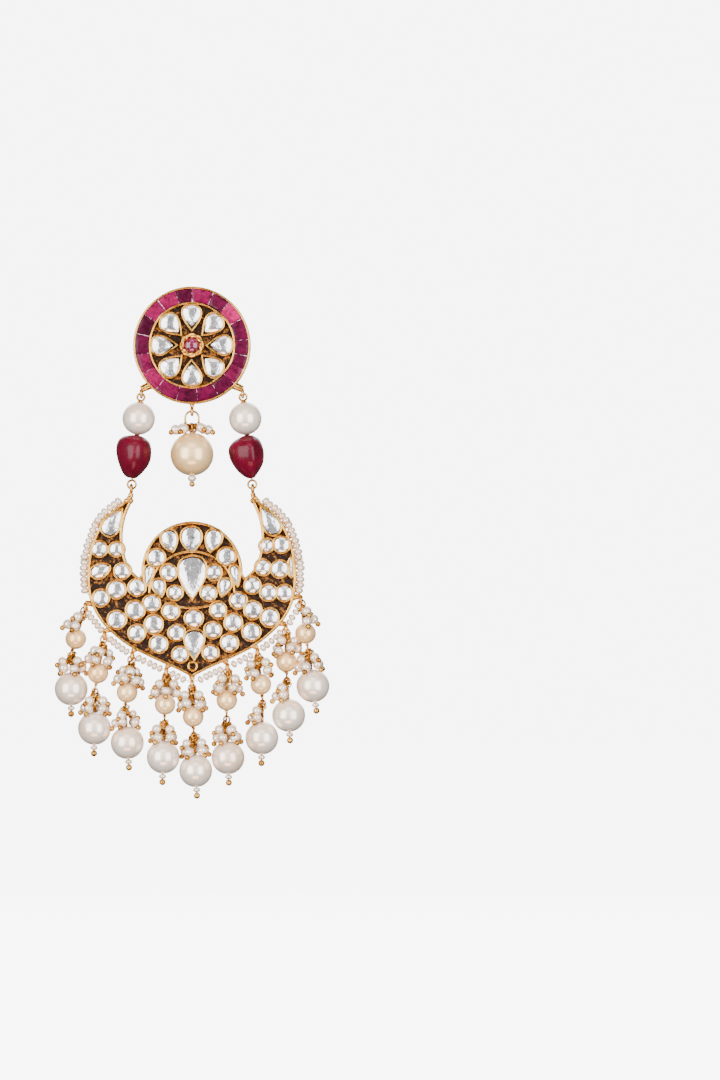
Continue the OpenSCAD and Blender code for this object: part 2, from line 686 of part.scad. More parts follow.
module lower_clusters() {
    color("linen") for (i = [0:strand_n - 1])
        hung(pearl_of(i), strands[i][5]) translate([0, 0, cluster_rise(fringe_pearl_d / 2)])
            cluster(strands[i][7]);
}

module tip_seeds() {
    color("seashell") for (i = [0:strand_n - 1])
        hung(pearl_of(i), strands[i][5]) translate([0, 0, -tip_seed_drop])
            drilled_ball(tip_seed_d, tip_seed_h);
}

stud_disc();
ruby_band();
for (i = [1:petal_n]) petal_stone(i);
centre_ruby();
ear_post();
link_wire(-1);  // link_wire_left
link_wire(1);  // link_wire_right
link_pearl(-1);  // link_pearl_left
link_pearl(1);  // link_pearl_right
red_bead(-1);  // red_bead_left
red_bead(1);  // red_bead_right
drop_ring();
drop_pin();
drop_pearl();
drop_seed();
drop_cluster();
crescent_frame();
crescent_round_stones();
crescent_shaped_stones();
horn_seeds(-1);  // horn_seeds_left
horn_seeds(1);  // horn_seeds_right
edge_seeds(-1);  // edge_seeds_left
edge_seeds(1);  // edge_seeds_right
for (i = [1:strand_n]) cap_pearl(i - 1);
for (i = [1:strand_n]) fringe_pearl(i - 1);
for (i = [1:strand_n]) fringe_wire(i - 1);
upper_clusters();
lower_clusters();
tip_seeds();
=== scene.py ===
"""Dresses a chandbali earring's solids: foiled stones, rubies, pearls and handmade gold work."""
import json
import random
from math import atan2, cos, degrees, hypot, pi, radians, sin, sqrt, tau
from types import SimpleNamespace

import bmesh
import bpy
from mathutils import Matrix, Vector


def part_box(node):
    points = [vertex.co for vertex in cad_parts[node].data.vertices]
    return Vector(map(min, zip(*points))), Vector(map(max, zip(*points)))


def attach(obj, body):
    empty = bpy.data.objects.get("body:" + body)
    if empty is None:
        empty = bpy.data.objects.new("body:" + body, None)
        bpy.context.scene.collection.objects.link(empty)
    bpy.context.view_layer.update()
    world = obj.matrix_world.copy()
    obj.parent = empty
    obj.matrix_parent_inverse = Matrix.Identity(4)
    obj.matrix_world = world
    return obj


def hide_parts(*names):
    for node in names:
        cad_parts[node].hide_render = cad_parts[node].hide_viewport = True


bl_info = {
    "name": "Chandbali Earring",
    "version": (1, 0, 0),
    "blender": (4, 5, 0),
    "location": "View3D > Sidebar > Earring",
    "description": "Builds the visible pieces of a chandbali earring round its solids",
    "category": "Object",
}

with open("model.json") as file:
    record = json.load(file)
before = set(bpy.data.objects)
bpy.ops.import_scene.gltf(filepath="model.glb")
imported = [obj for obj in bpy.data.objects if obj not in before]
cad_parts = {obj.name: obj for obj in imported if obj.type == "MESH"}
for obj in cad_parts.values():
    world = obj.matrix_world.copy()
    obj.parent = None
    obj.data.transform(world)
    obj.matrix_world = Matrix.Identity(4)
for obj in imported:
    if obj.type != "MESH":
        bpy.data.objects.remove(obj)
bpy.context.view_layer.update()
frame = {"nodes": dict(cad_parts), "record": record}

# Lengths are millimetres and angles degrees, unless a comment says otherwise. Outlines are flat
# drawings in x and z seen from the front, and depths count forwards from the back of a piece.
MM = 0.001
BACK = Vector((0, 1, 0))
# The stud's back is y = 0, and the eyes, links, drop and strands hang in front of it
HANG_Y = -1.6
DISC_R = 14.05
DISC_T = 3.2
DISC_PLATE_T = 1.5
RUBY_OUT = 13.5
RUBY_IN = 10.4
RING_IN = 9.8
PETALS = 8
PETAL_OUT = 9.92
PETAL_L = 6.75
PETAL_W = 5.1
# Point of a shaped setting: 0 is an oval and TEAR a teardrop
TEAR = 1.2
PAD_R = 3
PAD_RISE = 0.14
POST_R = 0.5
POST_L = 11
# Depth to which walls are let into their plate
SINK = 0.1
# Angles of the seams between the rubies, clockwise from the top
RUBY_SEAMS = (90, 68, 49, 28, 6, -11, -25, -42, -62, -84, -106, -129, -150, -170, -192, -213, -233, -253)
# Shade of each ruby from dark wine at 0 to bright pink at 1, clockwise from the top
RUBY_SHADES = (0.62, 0.42, 0.95, 0.45, 0.38, 0.3, 0.5, 0.3, 0.45,
               0.32, 0.5, 0.72, 0.55, 0.35, 0.1, 0.62, 0.68, 0.2)
# Eyes: x and z of the stud's side eyes and lower eye, radius of a hole and of its wire
SIDE_EYE = (12.114, -11.495)
LOW_EYE = (0, -15.7)
EYE_R = 0.85
EYE_WIRE_R = 0.38
joint_z = {joint["name"]: joint["pos_m"][2] / MM for joint in frame["record"]["behaviour"]["joints"]}
HORN_EYE = (14.5, joint_z["pendant_swing"])
HORN_RISE = 20
CRESCENT_Z = HORN_EYE[1] - HORN_RISE
CRESCENT_BACK_Y = -0.35
CRESCENT_T = 2.9
CRESCENT_PLATE_T = 1.4

# Half outline of the crescent from its middle: outer edge, inner edge and dome
OUTER_EDGE = ((15.2, 17.6), (17.6, 15.8), (20.6, 13.3), (23.1, 9), (24.6, 4), (25, -1.5), (24.2, -7),
              (21.8, -11.6), (18.3, -15.2), (14.6, -17.9), (11, -19.8), (7.4, -21.5), (3.6, -23.2), (0, -25.1))
INNER_EDGE = ((12.7, -1.2), (14.8, 1), (16.2, 4.7), (16.6, 9), (15.9, 13.2), (14.3, 17))
DOME_R = 12.1
DOME_Z = 0.1
# Round settings: x, z, radius
ROUND_SETTINGS = (
    (-22.1, 5.6, 2.05), (-18, 5.5, 1.95), (-16.6, 0.3, 2.1), (-18, -4.1, 2.35), (-13.1, -3.6, 2.2),
    (-21.7, -6.1, 2.15), (21.4, 6.6, 2.15), (17.9, 6.4, 1.85), (17, 1.2, 2.05), (21, 0.8, 2.25),
    (14.5, -3.1, 2.15), (18.3, -4.8, 2.15), (22.1, -4.9, 2.1), (-8.5, 3.5, 2.3), (8.3, 3.8, 2.3),
    (-5.5, 0, 2.1), (5.3, 0, 2.05), (-4, -4.9, 1.95), (4, -5, 2.05), (-9.6, -7.4, 2.2),
    (11.1, -6.7, 2.15), (-13.5, -9, 2.4), (14.6, -9, 2.3), (-5, -9.3, 2.2), (6.3, -9, 2.15),
    (0.5, -11, 2.3), (-17.9, -11.3, 2.35), (18.6, -10.8, 2.35), (-9.1, -12.4, 2.4), (9.9, -12, 2.3),
    (-3.6, -14.4, 2.1), (5, -13.8, 2.15), (-13.1, -14.5, 2.2), (14.2, -14.2, 2.3), (-7.9, -17.1, 2.25),
    (9, -16.8, 2.25), (-2.8, -19.6, 2.05), (4.5, -19.2, 2.05))
# Shaped settings: x, z, half width, length, turn of the tip, point
SHAPED_SETTINGS = (
    (-18.7, 12.1, 2.3, 8, 146, TEAR), (18.4, 12.4, 2.2, 8, -148, TEAR), (-21.8, 0.4, 1.9, 5.2, 115, 0.3),
    (23.7, 1.2, 0.85, 5, 0, 0), (-0.1, 7.9, 2.6, 6.5, 0, 0.5), (-5.3, 7.5, 2.2, 5.7, 15, 0.6),
    (5.1, 7.6, 2.15, 5.8, -15, 0.6), (-10.4, -0.8, 1.35, 5.6, -11, 0.8), (10.4, -0.8, 1.35, 5.6, 11, 0.8),
    (0.1, -1.3, 3.6, 10.8, 0, TEAR), (-7.75, -3.7, 1.65, 4.9, 14, 0.8), (7.75, -3.6, 1.65, 5, -14, 0.8),
    (0.6, -17.3, 2.6, 7.6, 0, TEAR))
# Gold bands across the crescent: middle z, radius, first angle, last angle
GOLD_BANDS = ((-5.2, 10.2, 2, 178), (7.5, 16, 246, 294))
# Small ring at the lower point: x, z, outer and inner radius
TIP_RING = (0.2, -22.4, 1.35, 0.7)
# Right horn's tip: x, z
HORN_TIP = (15.1, 16.6)
# Strands from left to right: side, place of the lug on the outer edge, upper lean,
# lower lean, side of the upper cluster, side of the lower cluster
STRANDS = ((-1, 6.15, -17, 0, -1, 0), (-1, 7.6, -10, -1, 0, 0), (-1, 9.3, -8, 4, 0, 0),
           (-1, 11.5, -2, -2, 0, 0), (0, 13, 2, 3, 0, 0), (1, 10.9, -1, 2, 0, 0),
           (1, 8.95, 6, -1, 0, -1), (1, 7.2, 1, 3, 0, -1), (1, 5.85, 8, 8, 1, 0))
# Strands: reach of a lug, height of the half loop in it, wire of the loops and of the windings,
# and how far under the pearl the tip pearl and the end ball sit, each with its radius
LUG_REACH = 1.65
TOP_LOOP = 0.95
STRAND_WIRE_R = 0.24
WINDING_R = 0.16
TIP_PEARL = (0.65, 0.88)
END_BALL = (2.02, 0.78)
# Seed rows: run of the horn's row along the outer edge, how far out both rows sit, the room
# kept clear at each lug, and where two wires of what half size bind the horn's row
HORN_SEEDS = (0.6, 5.6)
HORN_ROW = 0.88
EDGE_ROW = 1.42
LUG_CLEAR = 0.95
BINDINGS = (0.34, 0.7)
BINDING_HALF = (1.15, 1.2)
THREAD_R = 0.1
# Pearls, wire loops and the gaps between strung parts
CAP_R = 2.5
PEARL_R = 3.95
LINK_PEARL_R = 3.9
LINK_LOOP_R = 0.86
LOOP_R = 0.92
WIRE_R = 0.26
STRING_GAP = 0.1
# Cluster on a pearl: distance of its seeds from the pearl's axis, radius of a seed and the
# rise of its knot over them
CLUSTER_R = 2.35
CLUSTER_SEED_R = 1.15
KNOT_RISE = 3.1
# Red beads: length, half width, and rows of (share of the length, reach to the left, to the
# right and to the front)
RED_L = 10.4
RED_HW = 4.25
RED_LEFT = (
    (0, 0.26, 0.22, 0.24), (0.05, 0.72, 0.5, 0.6), (0.13, 0.97, 0.75, 0.82), (0.24, 1.07, 0.86, 0.93),
    (0.34, 1.09, 0.91, 0.97), (0.45, 1.06, 0.93, 0.96), (0.58, 0.97, 0.89, 0.9), (0.71, 0.84, 0.76, 0.79),
    (0.84, 0.68, 0.55, 0.64), (0.94, 0.5, 0.34, 0.45), (1, 0.3, 0.2, 0.25))
RED_RIGHT = (
    (0, 0.22, 0.24, 0.24), (0.05, 0.52, 0.46, 0.5), (0.12, 0.84, 0.66, 0.76), (0.22, 1.07, 0.77, 0.92),
    (0.32, 1.14, 0.83, 0.98), (0.43, 1.13, 0.85, 0.98), (0.56, 1.06, 0.82, 0.93), (0.69, 0.91, 0.73, 0.82),
    (0.82, 0.71, 0.53, 0.64), (0.93, 0.45, 0.31, 0.4), (1, 0.22, 0.18, 0.22))
# Photograph: millimetres a pixel, its size and the stud's middle in pixels
PX_MM = 0.239
FRAME_PX = (720, 1080)
STUD_PX = (192, 345.5)
CAMERA_DISTANCE = 1200
SENSOR_W = 36
# Area lights, in metres: name, azimuth, height, width, tallness, watts, tint, seen in reflections
LIGHT_AIM = (0, 0, -0.05)
WHITE, WARM, DEEP = (1, 1, 1), (1, 0.82, 0.66), (1, 0.56, 0.32)
LIGHTS = (
    ("left_softbox", -38, 0.1, 0.7, 1.0, 16.0, WHITE, True),
    ("right_softbox", 37, 0.05, 0.64, 1.0, 13.0, WHITE, True),
    ("front_softbox", 0, 0.3, 0.8, 0.8, 23.0, WHITE, False),
    ("front_panel", 0, 0.3, 0.56, 0.92, 2.3, WHITE, True),
    ("top_softbox", 0, 1.15, 1.0, 0.5, 5.0, WARM, True),
    ("low_softbox", 0, -1.05, 1.0, 0.4, 13.0, DEEP, True),
    ("back_softbox", 180, 0.6, 1.5, 1.0, 15.0, WHITE, True))
# Studio air as the surfaces see it and as the camera sees it, and the floor, in metres
AIR_TONE = (0.25, 0.235, 0.225, 1)
AIR_SEEN = (7, 7, 7, 1)
FLOOR_HALF = 3
FLOOR_Z = -0.22
# Vertices this close are merged, and faces that point this far back take the back's finish
MERGE = 0.0005
BACK_FACING = 0.7
# Finishes by name, made once from the panel's colours
finishes = {}


# Small helpers

def smooth_at(points, s):
    """Point of a smooth curve through points, s places along it."""
    last = len(points) - 1
    i = min(int(s), last - 1)
    t = s - i
    a, b, c, d = (Vector(points[k]) for k in (max(i - 1, 0), i, i + 1, min(i + 2, last)))
    return 0.5 * (2 * b + (c - a) * t + (2 * a - 5 * b + 4 * c - d) * t ** 2 + (3 * b - a - 3 * c + d) * t ** 3)


def smooth(points, steps):
    return [smooth_at(points, k / steps) for k in range((len(points) - 1) * steps + 1)]


def crescent_outline(steps=5, dome_step=4):
    """Closed outline of the crescent about its own middle."""
    dome = [Vector((DOME_R * cos(radians(a)), DOME_Z + DOME_R * sin(radians(a))))
            for a in range(90, -4, -dome_step)]
    half = dome + smooth(INNER_EDGE, steps) + smooth(OUTER_EDGE, steps)
    return half + [Vector((-p.x, p.y)) for p in reversed(half[1:-1])]


def circle(x, z, r, n=28):
    return [Vector((x + r * cos(tau * i / n), z + r * sin(tau * i / n))) for i in range(n)]


def drop_outline(setting, n=32, inset=0.0):
    """Outline of a shaped setting, with its tip down before it is turned."""
    x, z, hw, length, turn, point = setting
    q = (point + 1) / (point + 2)
    peak = 2 * q ** ((point + 1) / 2) * sqrt(1 - q)
    hw, length = hw - inset, length - (2 + 0.7 * point) * inset
    spin = Matrix.Rotation(radians(turn), 2)
    path = []
    for i in range(n):
        t = tau * i / n
        flat = Vector((hw * sin(t) * sin(t / 2) ** point / peak, -length / 2 * cos(t)))
        path.append(Vector((x, z)) + spin @ flat)
    return path


def area(path):
    return 0.5 * sum(a.x * b.y - b.x * a.y for a, b in zip(path, path[1:] + path[:1]))


def normals(path):
    """Outward unit vectors of a closed anticlockwise path."""
    out = []
    for i in range(len(path)):
        along = (path[(i + 1) % len(path)] - path[i - 1]).normalized()
        out.append(Vector((along.y, -along.x)))
    return out


def face_point(p, depth, back_y):
    """Point p of a flat drawing, depth in front of the plane y = back_y."""
    return Vector((p.x, back_y - depth, p.y))


def hung(x, z):
    """Point of the plane in which the eyes, links, drop and strands hang."""
    return Vector((x, HANG_Y, z))


def sway(rng, size, waves=(2, 3, 5)):
    """A smooth random wave round a closed path, for handmade edges."""
    parts = [(w, rng.uniform(0, tau), size * rng.uniform(0.5, 1) / (k + 1)) for k, w in enumerate(waves)]
    return lambda share: sum(a * sin(tau * w * share + f) for w, f, a in parts)


def of_kind(geom, kind):
    return [g for g in geom if isinstance(g, kind)]


def closed_loop(bm, points):
    """Vertices at points, in order, and the closed loop of edges through them."""
    ring = [bm.verts.new(p) for p in points]
    return ring, [bm.edges.new((vert, ring[(i + 1) % len(ring)])) for i, vert in enumerate(ring)]


def grow_loop(bm, ring, edges, points):
    """Extrudes a loop of edges once, its new vertices at points in the same order."""
    order = {vert: i for i, vert in enumerate(ring)}
    made = bmesh.ops.extrude_edge_only(bm, edges=edges)["geom"]
    fresh = set(of_kind(made, bmesh.types.BMVert))
    grown = [edge for edge in of_kind(made, bmesh.types.BMEdge) if set(edge.verts) <= fresh]
    ring = list(ring)
    for vert in fresh:
        old = next(e.other_vert(vert) for e in vert.link_edges if e.other_vert(vert) in order)
        ring[order[old]] = vert
        vert.co = points[order[old]]
    return ring, grown


def wall(bm, path, profile, back_y, wave=None):
    """A ring swept along a closed path through (offset, depth) steps, closed on itself."""
    if area(path) < 0:
        path = path[::-1]
    rows = [(p, n, wave(i / len(path)) if wave else 0) for i, (p, n) in enumerate(zip(path, normals(path)))]
    levels = [[face_point(p + (offset + bend) * n, depth, back_y) for p, n, bend in rows]
              for offset, depth in profile]
    ring, first = closed_loop(bm, levels[0])
    edges = first
    for points in levels[1:]:
        ring, edges = grow_loop(bm, ring, edges, points)
    bmesh.ops.bridge_loops(bm, edges=first + edges)


def rounded_wall(width, low, high, flare=0.0, out=0.0):
    """Cross-section of a bezel: flared foot, straight sides and a round top."""
    r = (width + out) / 2
    top = [(out - r + r * cos(a), high - r + r * sin(a)) for a in (pi * k / 6 for k in range(7))]
    return [(out + flare, low), (out + flare * 0.3, low + 0.35 * (high - low)), *top,
            (-width - flare * 0.2, low + 0.35 * (high - low)), (-width, low)]


def sheet(bm, path, depth, thick, back_y):
    """A flat sheet in a closed outline, from its depth forwards."""
    _, edges = closed_loop(bm, [face_point(p, depth, back_y) for p in path])
    filled = bmesh.ops.triangle_fill(bm, edges=edges, use_beauty=True, use_dissolve=False)["geom"]
    faces = of_kind(filled, bmesh.types.BMFace)
    grown = bmesh.ops.extrude_face_region(bm, geom=faces, use_keep_orig=True)["geom"]
    bmesh.ops.translate(bm, vec=(0, -thick, 0), verts=of_kind(grown, bmesh.types.BMVert))


def tube(bm, start, end, r0, r1, segments=12):
    """A tapered round bar between two points."""
    axis = end - start
    turn = axis.to_track_quat("Z", "Y").to_matrix().to_4x4()
    bmesh.ops.create_cone(bm, cap_ends=True, segments=segments, radius1=r0, radius2=r1, depth=axis.length,
                          matrix=Matrix.Translation((start + end) / 2) @ turn)


def torus(bm, centre, axis, major, minor, steps=24, sides=10):
    """A ring of round wire: a circle spun about an axis."""
    side = axis.orthogonal().normalized()
    turn = Matrix((side, axis.normalized(), side.cross(axis.normalized()))).transposed().to_4x4()
    made = bmesh.ops.create_circle(bm, segments=sides, radius=minor,
                                   matrix=Matrix.Translation(centre + side * major) @ turn)
    geom = made["verts"] + list({e for v in made["verts"] for e in v.link_edges})
    bmesh.ops.spin(bm, geom=geom, cent=centre, axis=axis, angle=tau, steps=steps, use_merge=True,
                   use_duplicate=False)


def ball(bm, centre, r, u=12, v=8, turn=None, stretch=(1, 1, 1)):
    matrix = Matrix.Translation(centre) @ (turn.to_matrix().to_4x4() if turn else Matrix())
    matrix = matrix @ Matrix.Diagonal((*stretch, 1))
    bmesh.ops.create_uvsphere(bm, u_segments=u, v_segments=v, radius=r, matrix=matrix)


def wires(bm, paths, radius, sides=1):
    """Adds round wires along point lists, with closed ends."""
    data = bpy.data.curves.new("wire_route", "CURVE")
    data.dimensions = "3D"
    data.bevel_depth = radius
    data.bevel_resolution = sides
    data.use_fill_caps = True
    for points in paths:
        spline = data.splines.new("POLY")
        spline.points.add(len(points) - 1)
        for knot, p in zip(spline.points, points):
            knot.co = (*p, 1)
    carrier = bpy.data.objects.new("wire_route", data)
    bpy.context.scene.collection.objects.link(carrier)
    bpy.context.view_layer.update()
    mesh = bpy.data.meshes.new_from_object(carrier.evaluated_get(bpy.context.evaluated_depsgraph_get()))
    bm.from_mesh(mesh)
    bpy.data.objects.remove(carrier)
    bpy.data.curves.remove(data)
    bpy.data.meshes.remove(mesh)


def make_piece(name, bm, body, finish, replaced=(), sharp=40, back=None):
    """Turns a bmesh in millimetres into a finished piece that rides on a body."""
    bmesh.ops.remove_doubles(bm, verts=bm.verts, dist=MERGE)
    bmesh.ops.recalc_face_normals(bm, faces=bm.faces)
    bmesh.ops.scale(bm, vec=(MM, MM, MM), verts=bm.verts)
    mesh = bpy.data.meshes.new(name)
    bm.to_mesh(mesh)
    bm.free()
    mesh.polygons.foreach_set("use_smooth", [True] * len(mesh.polygons))
    mesh.set_sharp_from_angle(angle=radians(sharp))
    mesh.materials.append(finishes[finish])
    if back:
        mesh.materials.append(finishes[back])
        mesh.polygons.foreach_set("material_index", [int(face.normal.y > BACK_FACING) for face in mesh.polygons])
    piece = bpy.data.objects.new(name, mesh)
    bpy.context.scene.collection.objects.link(piece)
    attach(piece, body)
    if replaced:
        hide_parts(*replaced)


def dress(finish, *nodes):
    """Gives solids that keep their own shape a better finish."""
    for node in nodes:
        materials = frame["nodes"][node].data.materials
        for k in range(len(materials)):
            materials[k] = finishes[finish]
        if not materials:
            materials.append(finishes[finish])


# Finishes

class Finish:
    """A material on one Principled shader, with textures in Object coordinates."""

    def __init__(self, name, **sockets):
        self.material = bpy.data.materials.new(name)
        self.material.use_nodes = True
        self.tree = self.material.node_tree
        self.shader = self.tree.nodes["Principled BSDF"]
        for key, value in sockets.items():
            self.shader.inputs[key.replace("_", " ")].default_value = value
        self.place = self.tree.nodes.new("ShaderNodeTexCoord")

    def node(self, kind, settings=None, **inputs):
        node = self.tree.nodes.new(kind)
        for key, value in (settings or {}).items():
            setattr(node, key, value)
        for key, value in inputs.items():
            self.feed(node.inputs[key], value)
        return node

    def feed(self, socket, value):
        if isinstance(value, bpy.types.NodeSocket):
            self.tree.links.new(value, socket)
        else:
            socket.default_value = value

    def noise(self, scale, detail=3.0, rough=0.55, distortion=0.0):
        node = self.node("ShaderNodeTexNoise", Vector=self.place.outputs["Object"], Scale=scale, Detail=detail,
                         Roughness=rough, Distortion=distortion)
        return node.outputs["Fac"]

    def ramp(self, value, *stops):
        node = self.node("ShaderNodeValToRGB", Fac=value)
        ends = node.color_ramp.elements
        while len(ends) < len(stops):
            ends.new(0.5)
        for end, (at, colour) in zip(ends, stops):
            end.position = at
            end.color = (*colour, 1) if isinstance(colour, tuple) else (colour, colour, colour, 1)
        return node.outputs["Color"]

    def mix(self, share, a, b, kind="MIX"):
        node = self.node("ShaderNodeMix", {"data_type": "RGBA", "blend_type": kind})
        # Input 0 is the share, and 6 and 7 are the two colours
        for k, value in ((0, share), (6, a), (7, b)):
            self.feed(node.inputs[k], (*value, 1) if isinstance(value, tuple) else value)
        return node.outputs[2]

    def attribute(self, name):
        return self.node("ShaderNodeAttribute", {"attribute_name": name}).outputs["Fac"]

    def link(self, socket, value):
        """Feeds a socket of the shader."""
        self.feed(self.shader.inputs[socket], value)

    def bump(self, height, strength, distance):
        node = self.node("ShaderNodeBump", Strength=strength, Distance=distance, Height=height)
        self.link("Normal", node.outputs["Normal"])


def tone(colour, share):
    """A colour made darker or lighter."""
    return tuple(min(1, share * c) for c in colour)


def noise_finish(name, colour, bump=None, rough=None, **sockets):
    """A finish whose colour, roughness and bump each come from one noise.

    Colour and rough are a noise's settings and the stops of its ramp, and bump is a noise's
    settings, a strength and a distance.
    """
    finish = Finish(name, **sockets)
    for socket, rows in (("Base Color", colour), ("Roughness", rough)):
        if rows:
            finish.link(socket, finish.ramp(finish.noise(*rows[0]), *rows[1:]))
    if bump:
        finish.bump(finish.noise(*bump[0]), *bump[1:])
    return finish.material


def gold_finish(name, shade, gold, light, worn, depth):
    """Gold with random darker patches of painted shade and brighter patches of painted highlight, polished and
    worn by turns and softly hammered.
    """
    return noise_finish(name, ((700, 4), (0.3 + depth, shade), (0.52 + depth, gold), (0.75, light)),
                        ((1100, 4), 0.55, 0.00014), ((1400, 3), (0.3, 0.13), (0.7, worn)), Metallic=1.0)


def lacquer_finish(lac):
    """Dark lac in the recesses, with flecks of gold foil pressed in it."""
    finish = Finish("lacquer", Roughness=0.5, Specular_IOR_Level=0.16)
    dirt = finish.ramp(finish.noise(1500, 5, 0.7), (0.3, tone(lac, 0.35)), (0.55, lac), (0.72, tone(lac, 2.6)))
    flecks = finish.ramp(finish.noise(800, 6, 0.75, 0.6), (0.535, 0.0), (0.61, 1.0))
    finish.link("Base Color", finish.mix(flecks, dirt, (0.44, 0.17, 0.035)))
    finish.link("Metallic", flecks)
    finish.bump(finish.noise(2200, 5, 0.7), 0.9, 0.00025)
    return finish.material


def ruby_finish(ruby):
    """Calibrated rubies, each of its own shade, with random lighter and darker veins that are partly the stones'
    own veining and partly painted sheen and painted shade.
    """
    finish = Finish("ruby", Roughness=0.26, Coat_Weight=0.16, Coat_Roughness=0.05, Specular_IOR_Level=0.08)
    shade = finish.ramp(finish.attribute("shade"), (0, tone(ruby, 0.42)), (0.45, ruby),
                        (1, (0.27, 0.0025, 0.062)))
    # Lighter and darker veins: painted sheen and painted shade as well as veining
    veins_painted_sheen_and_shade = finish.ramp(finish.noise(520, 4, 0.65, 1.2), (0.3, (0.25, 0.18, 0.22)), (0.5, (1, 1, 1)),
                        (0.7, (1.6, 1.4, 1.5)))
    finish.link("Base Color", finish.mix(1, shade, veins_painted_sheen_and_shade, "MULTIPLY"))
    finish.bump(finish.noise(420, 3), 0.5, 0.0004)
    return finish.material


def pearl_finish(name, body, painted_warm_reflection, rim, roughness=0.17, lustre=0.45):
    """Nacre: a soft body colour with random warm patches of painted reflection, under a tinted clear coat, which
    deepens the rim.
    """
    return noise_finish(name, ((170, 4, 0.5, 0.3), (0.38, painted_warm_reflection), (0.58, body)), ((800, 3), 0.05, 0.0002),
                        Roughness=roughness + 0.1, Coat_Weight=0.9, Coat_Roughness=roughness * 1.1,
                        Coat_IOR=1.6, Coat_Tint=(*rim, 1), Metallic=lustre)


# Settings that a user would change

def colour_setting(label, what, *rgb):
    return bpy.props.FloatVectorProperty(name=label, description=what, subtype="COLOR", default=rgb)


def size_setting(label, what, mm):
    return bpy.props.FloatProperty(name=label, description=what, unit="LENGTH", precision=5, default=mm * MM)


class EarringColours(bpy.types.PropertyGroup):
    gold: colour_setting("Gold", "Colour of the gold work", 0.78, 0.43, 0.085)
    # Bright gold and deep gold are a painted highlight and a painted shade, laid in random patches over the gold
    gold_light: colour_setting("Bright gold", "Colour of the gold's painted highlight patches", 0.96, 0.61, 0.17)
    gold_shade: colour_setting("Deep gold", "Colour of the gold's painted shade patches", 0.5, 0.2, 0.025)
    lac: colour_setting("Lac", "Colour of the lac in the recesses", 0.012, 0.0042, 0.0016)
    ruby: colour_setting("Ruby", "Colour of the rubies", 0.064, 0.0002, 0.0175)
    red: colour_setting("Red bead", "Colour of the two red beads", 0.088, 0.0009, 0.0105)
    pearl: colour_setting("White pearl", "Body colour of the white pearls", 0.97, 0.92, 0.88)
    cream: colour_setting("Cream pearl", "Body colour of the cream pearls", 0.97, 0.78, 0.5)
    seed: colour_setting("Seed pearl", "Body colour of the seed pearls", 0.97, 0.92, 0.87)


class EarringSizes(bpy.types.PropertyGroup):
    bezel: size_setting("Bezel width", "Width of the gold wall round each stone", 0.36)
    bezel_out: size_setting("Bezel growth", "How far each gold wall swells past its setting", 0.2)
    rim: size_setting("Rim width", "Width of the crescent's rim", 0.75)
    edge_seed: size_setting("Edge pearl", "Diameter of the seed pearls along the crescent", 2.08)
    edge_pitch: size_setting("Edge pearl pitch", "Distance from one edge pearl to the next", 1.37)
    cluster_seed: size_setting("Cluster pearl", "Diameter of the seed pearls in the clusters", 2.5)
    pin: size_setting("Head pin", "Wire radius of the head pins", 0.15)
    pin_ball: size_setting("Head pin ball", "Radius of the gold balls on the head pins", 0.68)


